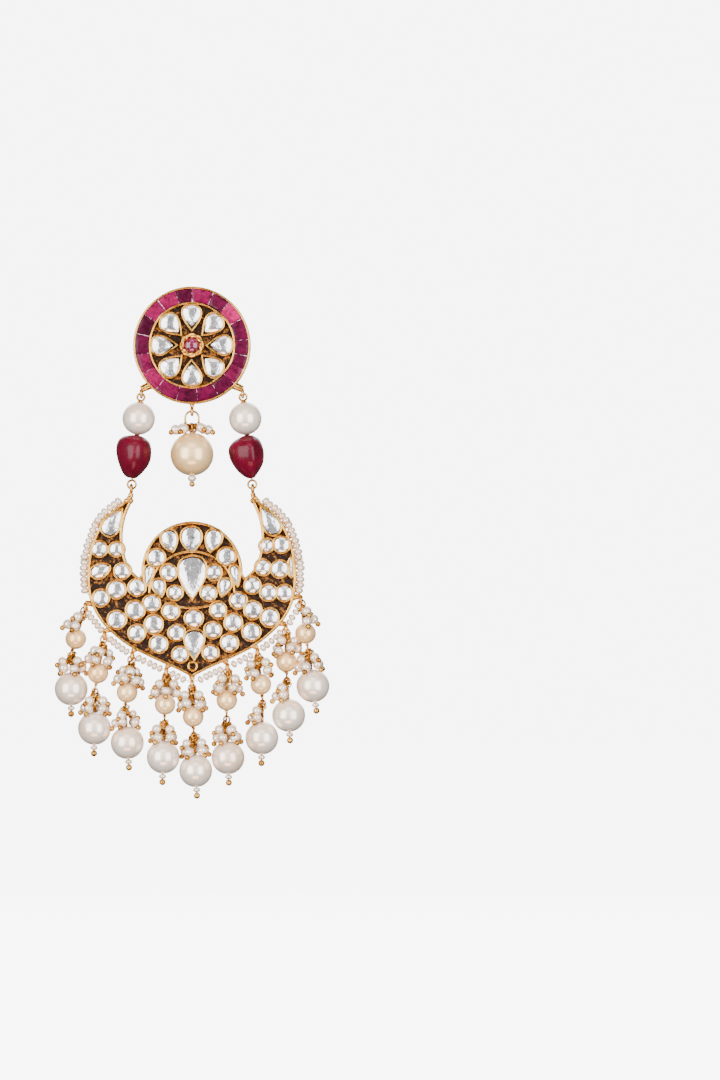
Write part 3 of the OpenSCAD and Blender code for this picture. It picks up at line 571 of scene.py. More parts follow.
def prepare_finishes(colours):
    """Makes each material once, from the colours that the panel shows."""
    gold, light, shade, lac, ruby, red, pearl, cream, seed = (
        tuple(getattr(colours, key)) for key in EarringColours.__annotations__)
    finishes["gold"] = gold_finish("worked_gold", shade, gold, light, 0.29, 0)
    # Fine wire: the same gold with a darker painted shade laid over more of its area
    finishes["wire"] = gold_finish(
        "gold_wire", (0.33, 0.14, 0.022), (0.75, 0.415, 0.08), (0.95, 0.6, 0.17), 0.25, 0.08)
    # Plain burnished backs with faint large patches in the bright gold, a painted highlight
    finishes["back"] = noise_finish(
        "plain_gold", ((90, 3), (0.35, gold), (0.7, light)), ((160, 2), 0.25, 0.0004),
        ((1800, 5, 0.7), (0.3, 0.24), (0.7, 0.4)), Metallic=1)
    finishes["lac"] = lacquer_finish(lac)
    # Foil in the seams between the rubies: its bright pink patches are a painted sheen of the rubies' edges and
    # its dark patches a painted shade in the gaps
    finishes["seam"] = noise_finish(
        "seam_foil", ((700, 4, 0.7), (0.46, (0.09, 0.01, 0.03)), (0.56, (0.85, 0.55, 0.66))),
        ((2400, 3), 0.8, 0.0002), Metallic=0.8, Roughness=0.3)
    # Flat-cut stones: a clear coat over silver foil, whose colour carries random dark and bright patches of
    # painted reflection
    finishes["foil"] = noise_finish(
        "foiled_stone", ((620, 4, 0.6, 0.4), (0.29, (0.22, 0.22, 0.26)), (0.36, (0.6, 0.59, 0.64)),
                         (0.5, (0.82, 0.81, 0.85)), (0.68, (0.93, 0.92, 0.95))),
        ((480, 3, 0.5, 0.8), 0.55, 0.00035), ((900, 3), (0.35, 0.06), (0.7, 0.17)),
        Metallic=0.85, Coat_Weight=1, Coat_Roughness=0.03, Coat_IOR=1.65)
    finishes["ruby"] = ruby_finish(ruby)
    # Polished ruby with cloudy depths
    finishes["centre"] = noise_finish(
        "centre_ruby", ((420, 3, 0.6, 1), (0.35, (0.08, 0.0005, 0.02)), (0.65, (0.2, 0.002, 0.05))),
        Roughness=0.08, Coat_Weight=1, Coat_Roughness=0.03)
    # Dark red tumbled stone with a soft polish
    finishes["red"] = noise_finish(
        "red_bead", ((260, 4, 0.6, 0.8), (0.32, tone(red, 0.6)), (0.55, red), (0.75, tone(red, 1.5))),
        ((180, 2), 0.12, 0.0004), Roughness=0.35, Specular_IOR_Level=0.15, Coat_Weight=0.2,
        Coat_Roughness=0.14, Subsurface_Weight=0.04, Subsurface_Scale=0.001)
    # The second colour of each pearl is a painted warm reflection of the gold, laid in random patches
    finishes["pearl"] = pearl_finish("white_pearl", pearl, (0.95, 0.8, 0.67), (0.985, 0.89, 0.8))
    finishes["cream"] = pearl_finish("cream_pearl", cream, (0.96, 0.68, 0.36), (0.99, 0.83, 0.62))
    finishes["seed"] = pearl_finish("seed_pearl", seed, (0.92, 0.79, 0.68), (0.97, 0.87, 0.77), 0.15, 0.6)


def ready(context):
    """Makes the finishes on the first call, and gives the panel's sizes in millimetres."""
    if not finishes:
        prepare_finishes(context.scene.earring_colours)
    sizes = context.scene.earring_sizes
    return SimpleNamespace(**{key: getattr(sizes, key) / MM for key in EarringSizes.__annotations__})


# Stage

def place_camera(scene):
    """A long lens, level with the middle of the photograph's frame."""
    camera = bpy.data.objects.new("camera", bpy.data.cameras.new("camera"))
    camera.data.sensor_width = SENSOR_W
    camera.data.lens = SENSOR_W * CAMERA_DISTANCE / (FRAME_PX[1] * PX_MM)
    x, z = ((FRAME_PX[k] / 2 - STUD_PX[k]) * PX_MM for k in (0, 1))
    camera.location = (x * MM, (HANG_Y - CAMERA_DISTANCE) * MM, -z * MM)
    camera.rotation_euler = (radians(90), 0, 0)
    scene.collection.objects.link(camera)
    scene.camera = camera


def place_lights(scene):
    """Soft area lights round the earring, each turned towards its middle."""
    aim = Vector(LIGHT_AIM)
    for name, azimuth, height, width, tall, power, tint, mirrored in LIGHTS:
        light = bpy.data.lights.new(name, "AREA")
        light.shape = "RECTANGLE"
        light.size, light.size_y = width, tall
        light.energy = power
        light.color = tint
        lamp = bpy.data.objects.new(name, light)
        a = radians(azimuth)
        lamp.location = aim + Vector((sin(a), -cos(a), height))
        lamp.rotation_euler = (aim - lamp.location).to_track_quat("-Z", "Y").to_euler()
        lamp.visible_camera = False
        lamp.visible_glossy = mirrored
        scene.collection.objects.link(lamp)


def fill_air(scene):
    """A dim studio round the earring, which looks white behind it."""
    scene.world = bpy.data.worlds.new("studio")
    scene.world.use_nodes = True
    tree = scene.world.node_tree
    seen = tree.nodes.new("ShaderNodeLightPath")
    blend = tree.nodes.new("ShaderNodeMix")
    blend.data_type = "RGBA"
    blend.inputs[6].default_value = AIR_TONE
    blend.inputs[7].default_value = AIR_SEEN
    tree.links.new(seen.outputs["Is Camera Ray"], blend.inputs[0])
    tree.links.new(blend.outputs[2], tree.nodes["Background"].inputs["Color"])


class EARRING_OT_stage(bpy.types.Operator):
    """Camera, soft studio lights and a plain pale floor"""
    bl_idname = "earring.stage"
    bl_label = "Stage"

    def execute(self, context):
        scene = context.scene
        place_camera(scene)
        place_lights(scene)
        fill_air(scene)
        bm = bmesh.new()
        bmesh.ops.create_grid(bm, x_segments=1, y_segments=1, size=FLOOR_HALF)
        mesh = bpy.data.meshes.new("floor")
        bm.to_mesh(mesh)
        bm.free()
        floor = bpy.data.objects.new("floor", mesh)
        floor.location = (0, 0, FLOOR_Z)
        pale = Finish("pale_floor", Base_Color=(0.95, 0.95, 0.95, 1), Roughness=0.9,
                      Emission_Color=(1, 1, 1, 1), Emission_Strength=6.8)
        mesh.materials.append(pale.material)
        scene.collection.objects.link(floor)
        floor.visible_glossy = False
        floor.visible_diffuse = False
        return {"FINISHED"}


# Stud

def petal_settings():
    """The petals about the stud's middle, as shaped settings."""
    reach = PETAL_OUT - PETAL_L / 2
    return [(-reach * sin(radians(a)), reach * cos(radians(a)), PETAL_W / 2, PETAL_L, a, TEAR)
            for a in (360 / PETALS * i for i in range(PETALS))]


def lug(bm, root, eye, start_r, end_r, up=1, ring_r=EYE_WIRE_R):
    """A cast stem that narrows towards its eye, whose hole runs along X."""
    foot = hung(*root)
    neck = hung(eye[0], eye[1] + up * (EYE_R + EYE_WIRE_R / 2))
    waist, waist_r = foot.lerp(neck, 0.5), end_r + 0.06
    tube(bm, foot, waist, start_r, waist_r)
    tube(bm, waist, neck, waist_r, end_r)
    ball(bm, waist, end_r + 0.1, 10, 6)
    torus(bm, hung(*eye), Vector((1, 0, 0)), EYE_R, ring_r)


class EARRING_OT_stud_metal(bpy.types.Operator):
    """The stud's plate, rim, ring, petal bezels, rope ring and eyes, its lac and the rubies' foil with its
    painted sheen and shade
    """
    bl_idname = "earring.stud_metal"
    bl_label = "Stud metal"

    def execute(self, context):
        sizes = ready(context)
        rng = random.Random(11)
        foot = DISC_PLATE_T - SINK
        bm = bmesh.new()
        # Plate and rim in one profile, from the back's middle round to the recess
        round_r = 0.3
        profile = [(-DISC_R + 0.01, 0), (-0.35, 0), (-0.1, 0.08), (0, 0.3), (0, DISC_T - 0.5)]
        profile += [(-round_r + round_r * cos(a), DISC_T - round_r + round_r * sin(a))
                    for a in (pi * k / 6 for k in range(1, 7))]
        profile += [(-0.6, DISC_PLATE_T + 0.1), (-0.75, DISC_PLATE_T), (-DISC_R + 0.01, DISC_PLATE_T)]
        wall(bm, circle(0, 0, DISC_R, 96), profile, 0, sway(rng, 0.03, (3, 5, 9)))
        wall(bm, circle(0, 0, RUBY_IN, 96), rounded_wall(RUBY_IN - RING_IN, foot, DISC_T + 0.05), 0,
             sway(rng, 0.1, (3, 7, 11)))
        for setting in petal_settings():
            bezel = rounded_wall(sizes.bezel + 0.06, foot, DISC_T + 0.2, 0.08, 0.08)
            wall(bm, drop_outline(setting, 36), bezel, 0, sway(rng, 0.05))
        # Collar of the centre ruby
        wall(bm, circle(0, 0, 2.75, 48), rounded_wall(0.85, foot, DISC_T - 0.15, 0.15), 0)
        for side in (-1, 1):
            eye = (side * SIDE_EYE[0], SIDE_EYE[1])
            lug(bm, Vector(eye).normalized() * (DISC_R - 0.3), eye, 1.0, 0.82)
        lug(bm, (0, -DISC_R + 0.3), LOW_EYE, 0.8, 0.5)
        # Two wires twisted to a rope round the centre ruby
        rope_r, twist_r, twist_wire, turns, points = 2.36, 0.3, 0.42, 4, 120
        rope = []
        for k in range(2):
            route = []
            for i in range(points + 1):
                a = tau * i / points
                twist = turns * a + pi * k
                r = rope_r + twist_r * cos(twist)
                route.append((r * cos(a), -DISC_T - 0.02 - twist_r * sin(twist), r * sin(a)))
            rope.append(route)
        wires(bm, rope, twist_wire, 3)
        make_piece("stud_metal", bm, "stud", "gold", ("stud_disc",), back="back")

        bm = bmesh.new()
        hub = -RING_IN + 0.05
        wall(bm, circle(0, 0, RING_IN + 0.1, 64), [(0, foot), (0, DISC_PLATE_T + 0.35),
             (hub, DISC_PLATE_T + 0.5), (hub, foot)], 0)
        make_piece("stud_lac", bm, "stud", "lac")

        # A foil ring behind the rubies, seen in their seams, with painted sheen and painted shade in its colour
        bm = bmesh.new()
        low, high, width = DISC_PLATE_T - 0.05, DISC_T - 0.25, RUBY_IN - RUBY_OUT
        wall(bm, circle(0, 0, RUBY_OUT + 0.02, 96), [(0, low), (0, high), (width, high), (width, low)], 0)
        make_piece("ruby_foil", bm, "stud", "seam")
        return {"FINISHED"}


def sector(a0, a1, r0, r1, gap, steps=3):
    """Outline of one calibrated stone between two seams."""
    path = []
    for r, way in ((r0, 1), (r1, -1)):
        trim = gap / 2 / r
        first, last = radians(a1) + trim, radians(a0) - trim
        row = [first + (last - first) * k / steps for k in range(steps + 1)]
        path += [Vector((r * cos(a), r * sin(a))) for a in row[::-way]]
    return path


def stone(bm, path, levels, back_y, middle, tilt=(0, 0)):
    """A closed stone: its outline drawn in towards middle through (share, depth) levels."""
    def ring_at(share, depth, lean):
        flats = [middle + share * (p - middle) for p in path]
        return [face_point(p, depth + (lean[0] * (p.x - middle.x) + lean[1] * (p.y - middle.y)), back_y)
                for p in flats]

    ring, first = closed_loop(bm, ring_at(*levels[0], (0, 0)))
    edges = first
    for level in levels[1:]:
        ring, edges = grow_loop(bm, ring, edges, ring_at(*level, tilt))
    for loop in (first, edges):
        bmesh.ops.contextual_create(bm, geom=loop)


def cabochon(low, high, rise, shares=(0.97, 0.85, 0.65, 0.4, 0.15)):
    """Levels of a low dome on a short straight side."""
    return [(1, low), (1, high)] + [(s, high + rise * (1 - s * s)) for s in shares]


class EARRING_OT_stud_stones(bpy.types.Operator):
    """The rubies, the petal stones and the centre ruby"""
    bl_idname = "earring.stud_stones"
    bl_label = "Stud stones"

    def execute(self, context):
        sizes = ready(context)
        rng = random.Random(23)
        bm = bmesh.new()
        shade = bm.faces.layers.float.new("shade")
        levels = ((1, DISC_PLATE_T), (1, DISC_T - 0.1), (0.95, DISC_T - 0.02), (0.72, DISC_T + 0.06),
                  (0.4, DISC_T + 0.08))
        lean, seam = 0.09, 0.14
        for a0, a1, tint in zip(RUBY_SEAMS, (*RUBY_SEAMS[1:], RUBY_SEAMS[0] - 360), RUBY_SHADES):
            path = sector(a0, a1, RUBY_IN + 0.01, RUBY_OUT - 0.01, seam)
            middle = sum(path, Vector((0, 0))) / len(path)
            before = set(bm.faces)
            tilt = (rng.uniform(-lean, lean), rng.uniform(-lean, lean))
            stone(bm, path, levels, 0, middle, tilt)
            for face in set(bm.faces) - before:
                face[shade] = tint
        make_piece("ruby_stones", bm, "stud", "ruby", ("ruby_band",), 25)
        # A petal's stone sits in the round end and leaves the bezel's narrow tip empty
        stone_l = PETAL_L - 1.75
        reach = 1 + (PETAL_L - stone_l - 2 * sizes.bezel) / 2 / (PETAL_OUT - PETAL_L / 2)
        for i, setting in enumerate(petal_settings(), 1):
            bm = bmesh.new()
            middle = Vector(setting[:2]) * reach
            path = drop_outline((*middle, PETAL_W / 2 - sizes.bezel, stone_l, setting[4], 0.9), 32)
            stone(bm, path, cabochon(DISC_PLATE_T, DISC_T - 0.1, 0.5), 0, middle)
            make_piece(f"petal_kundan_{i}", bm, "stud", "foil", (f"petal_stone_{i}",), 25)
        dress("centre", "centre_ruby")
        return {"FINISHED"}


class EARRING_OT_post(bpy.types.Operator):
    """The ear post with its pad, its rounded end and the solder round its foot"""
    bl_idname = "earring.post"
    bl_label = "Ear post"

    def execute(self, context):
        ready(context)
        bm = bmesh.new()
        wall(bm, circle(0, 0, PAD_R, 48), [(0.01 - PAD_R, 0.3), (0, 0.3), (0, 0.02 - PAD_RISE),
             (-0.05, -PAD_RISE), (0.01 - PAD_R, -PAD_RISE)], 0)
        end = Vector((0, POST_L - POST_R, 0))
        tube(bm, Vector((0, 0.1, 0)), end, POST_R, POST_R, 24)
        ball(bm, end, POST_R, 24, 12, BACK.to_track_quat("Z", "Y"))
        wall(bm, circle(0, 0, POST_R + 0.4, 32), [(0, -PAD_RISE + 0.05), (-0.22, -PAD_RISE - 0.12),
             (-0.35, -PAD_RISE - 0.45), (-0.45, -PAD_RISE - 0.45), (-0.45, -PAD_RISE + 0.05)], 0)
        make_piece("post", bm, "stud", "back", ("ear_post",))
        return {"FINISHED"}


# Links and centre drop

def link_frame(side):
    """Place and turn of a link: its top at the side eye, running down its own -Z."""
    top = hung(side * SIDE_EYE[0], SIDE_EYE[1])
    down = (hung(side * HORN_EYE[0], HORN_EYE[1]) - top).normalized()
    turn = Vector((0, 0, -1)).rotation_difference(down)
    return Matrix.Translation(top) @ turn.to_matrix().to_4x4()


def nugget(table, side, top):
    """A tumbled stone that hangs from top, from rows of (share, left, right, depth)."""
    ridge_rise, ridge_half, pole_r = 0.12, 38, 0.2
    ridge_at = -80 + side * 8
    bm = bmesh.new()
    bmesh.ops.create_uvsphere(bm, u_segments=40, v_segments=36, radius=1)
    for vert in bm.verts:
        share = (1 - vert.co.z) / 2
        k = next((j for j in range(len(table) - 1) if table[j + 1][0] >= share - 1e-9), len(table) - 2)
        t = (share - table[k][0]) / (table[k + 1][0] - table[k][0])
        _, left, right, depth = smooth_at(table, k + t)
        a = atan2(vert.co.y, vert.co.x)
        pole = min(1, hypot(vert.co.x, vert.co.y) / pole_r)
        # A ridge down the front makes the stone's two faces
        ridge = ridge_rise * max(0, 1 - abs(degrees(a) - ridge_at) / ridge_half)
        reach = left if cos(a) < 0 else right
        vert.co = (RED_HW * pole * cos(a) * reach, RED_HW * pole * sin(a) * depth * (1 + ridge),
                   -top - RED_L * share)
    bmesh.ops.smooth_vert(bm, verts=bm.verts, factor=0.5, use_axis_x=True, use_axis_y=True, use_axis_z=True)
    return bm


class EARRING_OT_links(bpy.types.Operator):
    """The two red beads and the bead caps, and the finish of the links' wires and pearls"""
    bl_idname = "earring.links"
    bl_label = "Links"

    def execute(self, context):
        ready(context)
        pearl_drop = 2 * LINK_LOOP_R + WIRE_R + STRING_GAP + LINK_PEARL_R
        red_top = pearl_drop + LINK_PEARL_R + STRING_GAP
        for side, name, table in ((-1, "left", RED_LEFT), (1, "right", RED_RIGHT)):
            bead = nugget(table, side, red_top)
            caps = bmesh.new()
            for drop, r in ((pearl_drop - LINK_PEARL_R, 0.85), (pearl_drop + LINK_PEARL_R, 0.7)):
                ball(caps, Vector((0, 0, -drop)), r, 14, 8, stretch=(1, 1, 0.28))
            for bm in (bead, caps):
                bmesh.ops.transform(bm, matrix=link_frame(side), verts=bm.verts)
            make_piece(f"red_nugget_{name}", bead, "links", "red", (f"red_bead_{name}",), 80)
            make_piece(f"link_caps_{name}", caps, "links", "wire")
        dress("wire", "link_wire_left", "link_wire_right")
        dress("pearl", "link_pearl_left", "link_pearl_right")
        return {"FINISHED"}


def coil(start, end, r, pitch, rng, slack=0.0):
    """Points of a wire wound round the line from start to end."""
    way = (end - start).normalized()
    across = way.orthogonal().normalized()
    other = way.cross(across)
    turns = (end - start).length / pitch
    count = max(6, int(turns * 7))
    first = rng.uniform(0, tau)
    points = []
    for i in range(count + 1):
        t = i / count
        b = first + tau * turns * t
        wide = r * (1 + slack * rng.uniform(-1, 1))
        points.append(start.lerp(end, t) + wide * (across * cos(b) + other * sin(b)))
    return points


def oval(centre, along, across, half_l, half_w, n=22):
    """Closed route of an oval wire loop."""
    turns = [tau * i / n for i in range(n + 1)]
    return [centre + along * half_l * cos(a) + across * half_w * sin(a) for a in turns]


def tangle(centre, rng, count, spread=0.6, low=0.42, high=0.8):
    """Small wire loops of many directions round a knot."""
    loops = []
    for _ in range(count):
        axis = Vector((rng.uniform(-1, 1), rng.uniform(-1, 1), rng.uniform(-0.5, 0.5))).normalized()
        across = axis.orthogonal().normalized()
        size = rng.uniform(low, high)
        shift = spread * Vector((rng.uniform(-1, 1), rng.uniform(-1, 1), rng.uniform(-1, 0.85)))
        loops.append(oval(centre + shift, across, axis.cross(across), size, size * rng.uniform(0.6, 0.9), 12))
    return loops


def headpin(seed, hook, seed_r, rng):
    """A pin from the knot through a seed pearl to its ball: way, ball place and wire routes."""
    way = (seed - hook).normalized()
    ball_at = seed + way * (seed_r + 0.3)
    neck = (seed - hook).length - seed_r
    return way, ball_at, [[hook, ball_at], coil(hook, hook + way * max(0.6, neck * 0.9), 0.4, 0.4, rng, 0.3)]


def cluster_parts(rng, centre, down, pearl_r, side, sizes):
    """Seed pearls, head pins and balls of one cluster that sits on top of a pearl.

    Side 0 is a whole cluster, and -1 or 1 one whose pearls stand to the left or right.
    """
    seed_r = sizes.cluster_seed / 2
    reach = pearl_r + seed_r + STRING_GAP
    whole = side == 0
    span = 360 if whole else 200
    start = rng.uniform(0, 360) if whole else (80 if side < 0 else -100)
    knot_z = sqrt((pearl_r + CLUSTER_SEED_R + STRING_GAP) ** 2 - CLUSTER_R ** 2) + KNOT_RISE
    place = Matrix.Translation(centre) @ Vector((0, 0, -1)).rotation_difference(down).to_matrix().to_4x4()
    tier_rise, hook_r = 1.55, 0.4
    rows = []
    # Lower and upper tier: number of seeds, and the least and most distance from the axis
    for tier, count, near, far in ((0, 5 if whole else 3, 2.35, 2.85), (1, 3 if whole else 2, 1.7, 2.1)):
        for k in range(count):
            share = (k + (0 if whole else 0.5)) / count + (0.5 / count if tier and whole else 0)
            a = radians(start + span * share + rng.uniform(-9, 9))
            r = rng.uniform(near, far)
            z = sqrt(reach * reach - r * r) + rng.uniform(0.02, 0.3) + tier_rise * tier
            rows.append((Vector((r * cos(a), r * sin(a), z)), a))
    seeds, routes, balls = [], [], []
    for seed, a in rows:
        hook = Vector((hook_r * cos(a + 0.6), hook_r * sin(a + 0.6), knot_z + rng.uniform(-0.35, 0.4)))
        way, ball_at, wire = headpin(place @ seed, place @ hook, seed_r, rng)
        seeds.append((place @ seed, way))
        balls.append(ball_at)
        routes += wire
    routes += tangle(place @ Vector((0, 0, knot_z)), rng, *((17, 0.85) if whole else (9, 0.6)))
    return seeds, routes, balls


def cluster_pieces(name, groups, body, node, rng, sizes):
    """One field of clusters: its pearls in one piece and its gold in another."""
    pearls, gold, routes = bmesh.new(), bmesh.new(), []
    for seeds, pins, balls in groups:
        for centre, way in seeds:
            ball(pearls, centre, sizes.cluster_seed / 2 * rng.uniform(0.94, 1.03), 10, 6,
                 way.to_track_quat("Z", "Y"), (1, 1, rng.uniform(0.84, 0.96)))
        for centre in balls:
            ball(gold, centre, sizes.pin_ball, 8, 5)
        routes += pins
    wires(gold, routes, sizes.pin, 0)
    make_piece(f"{name}_pearls", pearls, body, "seed", (node,), 60)
    make_piece(f"{name}_pins", gold, body, "wire", (), 60)


def box_middle(node):
    """Middle of a node's box, in millimetres."""
    low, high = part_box(node)
    return (Vector(low) + Vector(high)) / 2 / MM


class EARRING_OT_drop(bpy.types.Operator):
    """The centre drop's seed pearl cluster and tip pearl, and the finish of its other parts"""
    bl_idname = "earring.drop"
    bl_label = "Centre drop"

    def execute(self, context):
        sizes = ready(context)
        rng = random.Random(5)
        seed_r = sizes.cluster_seed / 2
        knot = hung(0, -19.1)
        seeds, routes, balls = [], [], []
        # Seeds to the left and right as in the photograph, and three behind
        for x, y, z in ((-3.9, -0.5, -20.1), (-1.9, -1.2, -19.95), (2.1, -1.0, -19.6), (3.95, -0.4, -20.1),
                        (-2.4, 1.7, -19.8), (0.1, 2.1, -19.9), (2.6, 1.6, -19.9)):
            seed = Vector((x, HANG_Y + y, z))
            hook = knot + Vector((0.09 * x, 0.15 * y, rng.uniform(-0.1, 0.25)))
            way, _, wire = headpin(seed, hook, seed_r, rng)
            # The pins' ends bend to the front
            ball_at = seed + (way + Vector((0, -0.7 if y < 0 else 0.2, -0.35))).normalized() * (seed_r + 0.25)
            seeds.append((seed, way))
            balls.append(ball_at)
            routes += [[hook, seed, ball_at], wire[1]]
        # Stems wound on the ring: a V over the pearl and one out to each side
        front = Vector((0, -0.35, 0))
        for start, end in (((-1.25, -18.75), (-0.15, -20)), ((1.15, -18.7), (0.1, -20)),
                           ((-1.55, -18.6), (-2.9, -19.8)), ((1.5, -18.6), (2.7, -19.3))):
            routes.append(coil(hung(*start) + front, hung(*end) + front, 0.3, 0.34, rng))
        routes += tangle(knot, rng, 2, 0.35, 0.38, 0.66)
        cluster_pieces("drop_cluster", [(seeds, routes, balls)], "drop", "drop_cluster", rng, sizes)
        bm = bmesh.new()
        ball(bm, box_middle("drop_seed"), 1.02, 16, 12, None, (1, 1, 0.78))
        make_piece("drop_tip_pearl", bm, "drop", "seed", ("drop_seed",))
        dress("wire", "drop_ring", "drop_pin")
        dress("cream", "drop_pearl")
        return {"FINISHED"}


# Crescent

def lifted(path):
    return [p + Vector((0, CRESCENT_Z)) for p in path]


def edge_at(side, s, out):
    """A point this far out from the crescent's outer edge, s places along it."""
    last = len(OUTER_EDGE) - 1
    p = smooth_at(OUTER_EDGE, s)
    along = (smooth_at(OUTER_EDGE, min(s + 0.2, last)) - smooth_at(OUTER_EDGE, max(s - 0.2, 0))).normalized()
    way = Vector((0, -1)) if side == 0 else Vector((-side * along.y, along.x))
    return Vector((side * p.x, p.y + CRESCENT_Z)) + out * way


def setting_paths(inset):
    """Outline and middle of every setting on the crescent, in place."""
    lift = Vector((0, CRESCENT_Z))
    for x, z, r in ROUND_SETTINGS:
        yield lifted(circle(x, z, r - inset)), Vector((x, z)) + lift
    for setting in SHAPED_SETTINGS:
        yield lifted(drop_outline(setting, 36, inset)), Vector(setting[:2]) + lift


class EARRING_OT_crescent_metal(bpy.types.Operator):
    """The crescent's plate, rim, bezels, bands, lugs and eyes, and the lac between them"""
    bl_idname = "earring.crescent_metal"
    bl_label = "Crescent metal"

    def execute(self, context):
        sizes = ready(context)
        rng = random.Random(7)
        back, plate, front = CRESCENT_BACK_Y, CRESCENT_PLATE_T, CRESCENT_T
        outline = lifted(crescent_outline())
        bm = bmesh.new()
        sheet(bm, outline, 0, plate, back)
        # Rim with a softened back edge and a round top
        w = sizes.rim
        rim = [(-w, 0.03), (-0.2, 0.03), (-0.02, 0.2), (0, 0.6), (0, front - 0.35)]
        rim += [(-w / 2 + w / 2 * cos(a), front - 0.3 + 0.36 * sin(a))
                for a in (pi * k / 7 for k in range(1, 7))]
        rim += [(-w, front - 0.5), (-w - 0.06, plate)]
        wall(bm, outline, rim, back, sway(rng, 0.04, (5, 11, 17)))
        for path, _ in setting_paths(0):
            top = front + rng.uniform(0, 0.14)
            wall(bm, path, rounded_wall(sizes.bezel, plate - SINK, top, 0.08, sizes.bezel_out), back,
                 sway(rng, 0.07))
        for z, r, a0, a1 in GOLD_BANDS:
            turns = [radians(a0 + (a1 - a0) * k / 24) for k in range(25)]
            arc = [Vector((r * cos(a), z + r * sin(a) + CRESCENT_Z)) for a in turns]
            wires(bm, [[face_point(p, front - 0.3, back) for p in arc]], 0.36, 3)
        x, z, outer, inner = TIP_RING
        wall(bm, lifted(circle(x, z, outer)), rounded_wall(outer - inner, plate - SINK, front + 0.05, 0.1), back)
        for side, s, *_ in STRANDS:
            lug(bm, edge_at(side, s, -0.5), edge_at(side, s, LUG_REACH), 0.8, 0.6, ring_r=0.46)
        for side in (-1, 1):
            tip = (side * HORN_TIP[0], CRESCENT_Z + HORN_TIP[1])
            lug(bm, tip, (side * HORN_EYE[0], HORN_EYE[1]), 0.95, 0.58, -1)
            # Three grains of gold on the tip of each horn
            for dx, dz in ((-0.6, 0.5), (0.6, 0.5), (0.1, 1.1)):
                ball(bm, Vector((tip[0] + dx, back - front + 0.4, tip[1] + dz)), 0.6, 12, 8)
        make_piece("crescent_metal", bm, "pendant", "gold", ("crescent_frame",), back="back")

        bm = bmesh.new()
        path = outline[::-1]
        sheet(bm, [p - 0.3 * n for p, n in zip(path, normals(path))], plate - 0.05, 0.5, back)
        make_piece("crescent_lac", bm, "pendant", "lac")
        return {"FINISHED"}


class EARRING_OT_crescent_stones(bpy.types.Operator):
    """The flat-cut foiled stones of the crescent"""
    bl_idname = "earring.crescent_stones"
    bl_label = "Crescent stones"

    def execute(self, context):
        sizes = ready(context)
        rng = random.Random(31)
        fields = {"round": bmesh.new(), "shaped": bmesh.new()}
        for i, (path, middle) in enumerate(setting_paths(sizes.bezel + 0.07)):
            bm = fields["round" if i < len(ROUND_SETTINGS) else "shaped"]
            tilt = (rng.uniform(-0.05, 0.05), rng.uniform(-0.04, 0.04))
            levels = cabochon(CRESCENT_PLATE_T, CRESCENT_T - 0.15, rng.uniform(0.38, 0.5))
            stone(bm, path, levels, CRESCENT_BACK_Y, middle, tilt)
        for name, bm in fields.items():
            make_piece(f"{name}_kundan", bm, "pendant", "foil", (f"crescent_{name}_stones",), 25)
        return {"FINISHED"}


# Seed pearl edging

def spaced(side, s0, s1, out, pitch, clear):
    """Evenly spaced points along the edge from s0 to s1, clear of both ends, and the way along."""
    steps = 120
    fine = [edge_at(side, s0 + (s1 - s0) * k / steps, out) for k in range(steps + 1)]
    reach = [0]
    for a, b in zip(fine, fine[1:]):
        reach.append(reach[-1] + (b - a).length)
    length = reach[-1] - 2 * clear
    count = max(2, round(length / pitch))
    points = []
    for i in range(count):
        want = clear + length * (i + 0.5) / count
        k = next(j for j in range(steps) if reach[j + 1] >= want)
        t = (want - reach[k]) / (reach[k + 1] - reach[k])
        points.append((fine[k].lerp(fine[k + 1], t), (fine[k + 1] - fine[k]).normalized()))
    return points


class EARRING_OT_edging(bpy.types.Operator):
    """The strings of seed pearls along the horns and the lower edge"""
    bl_idname = "earring.edging"
    bl_label = "Seed pearl edging"

    def execute(self, context):
        sizes = ready(context)
        rng = random.Random(41)
        for side, word in ((-1, "left"), (1, "right")):
            # The lower edge has a row from each lug to the next, the middle lug among them
            lugs = [STRANDS[i][1] for i in (range(5) if side < 0 else range(8, 3, -1))]
            # Row, its spans, how far out, size of a seed, room at the ends, how far out the thread ends
            for kind, spans, out, size, clear, tie in (
                    ("horn", [HORN_SEEDS], HORN_ROW, 1, 0, 0),
                    ("edge", zip(lugs, lugs[1:]), EDGE_ROW, 0.88, LUG_CLEAR, 1.1)):
                horn = kind == "horn"
                pearls, routes = bmesh.new(), []
                for s0, s1 in spans:
                    route = []
                    for p, along in spaced(side, s0, s1, out, sizes.edge_pitch, clear):
                        turn = Vector((along.x, 0, along.y)).to_track_quat("Z", "Y")
                        where = Vector((p.x + rng.uniform(-0.14, 0.14), HANG_Y + rng.uniform(-0.15, 0.15),
                                        p.y + rng.uniform(-0.06, 0.06)))
                        ball(pearls, where, size * sizes.edge_seed / 2 * rng.uniform(0.96, 1.04), 14, 8, turn,
                             (1, 1, rng.uniform(0.71, 0.78)))
                        route.append(where)
                    ends = (max(s0 - 0.12, 0.1), s1 + 0.12) if horn else (s0, s1)
                    first, last = (hung(*edge_at(side, s, tie)) for s in ends)
                    routes.append([first, *route, last])
                    # Fine wires bind the horn's string to its rim
                    for share in BINDINGS if horn else ():
                        k = int(share * len(route))
                        way = (route[k] - route[k - 1]).cross(BACK).normalized()
                        routes.append(oval((route[k] + route[k - 1]) / 2, way, BACK, *BINDING_HALF))
                make_piece(f"{kind}_pearls_{word}", pearls, "pendant", "seed", (f"{kind}_seeds_{word}",), 60)
                thread = bmesh.new()
                wires(thread, routes, THREAD_R)
                make_piece(f"{kind}_thread_{word}", thread, "pendant", "wire")
        return {"FINISHED"}


# Fringe

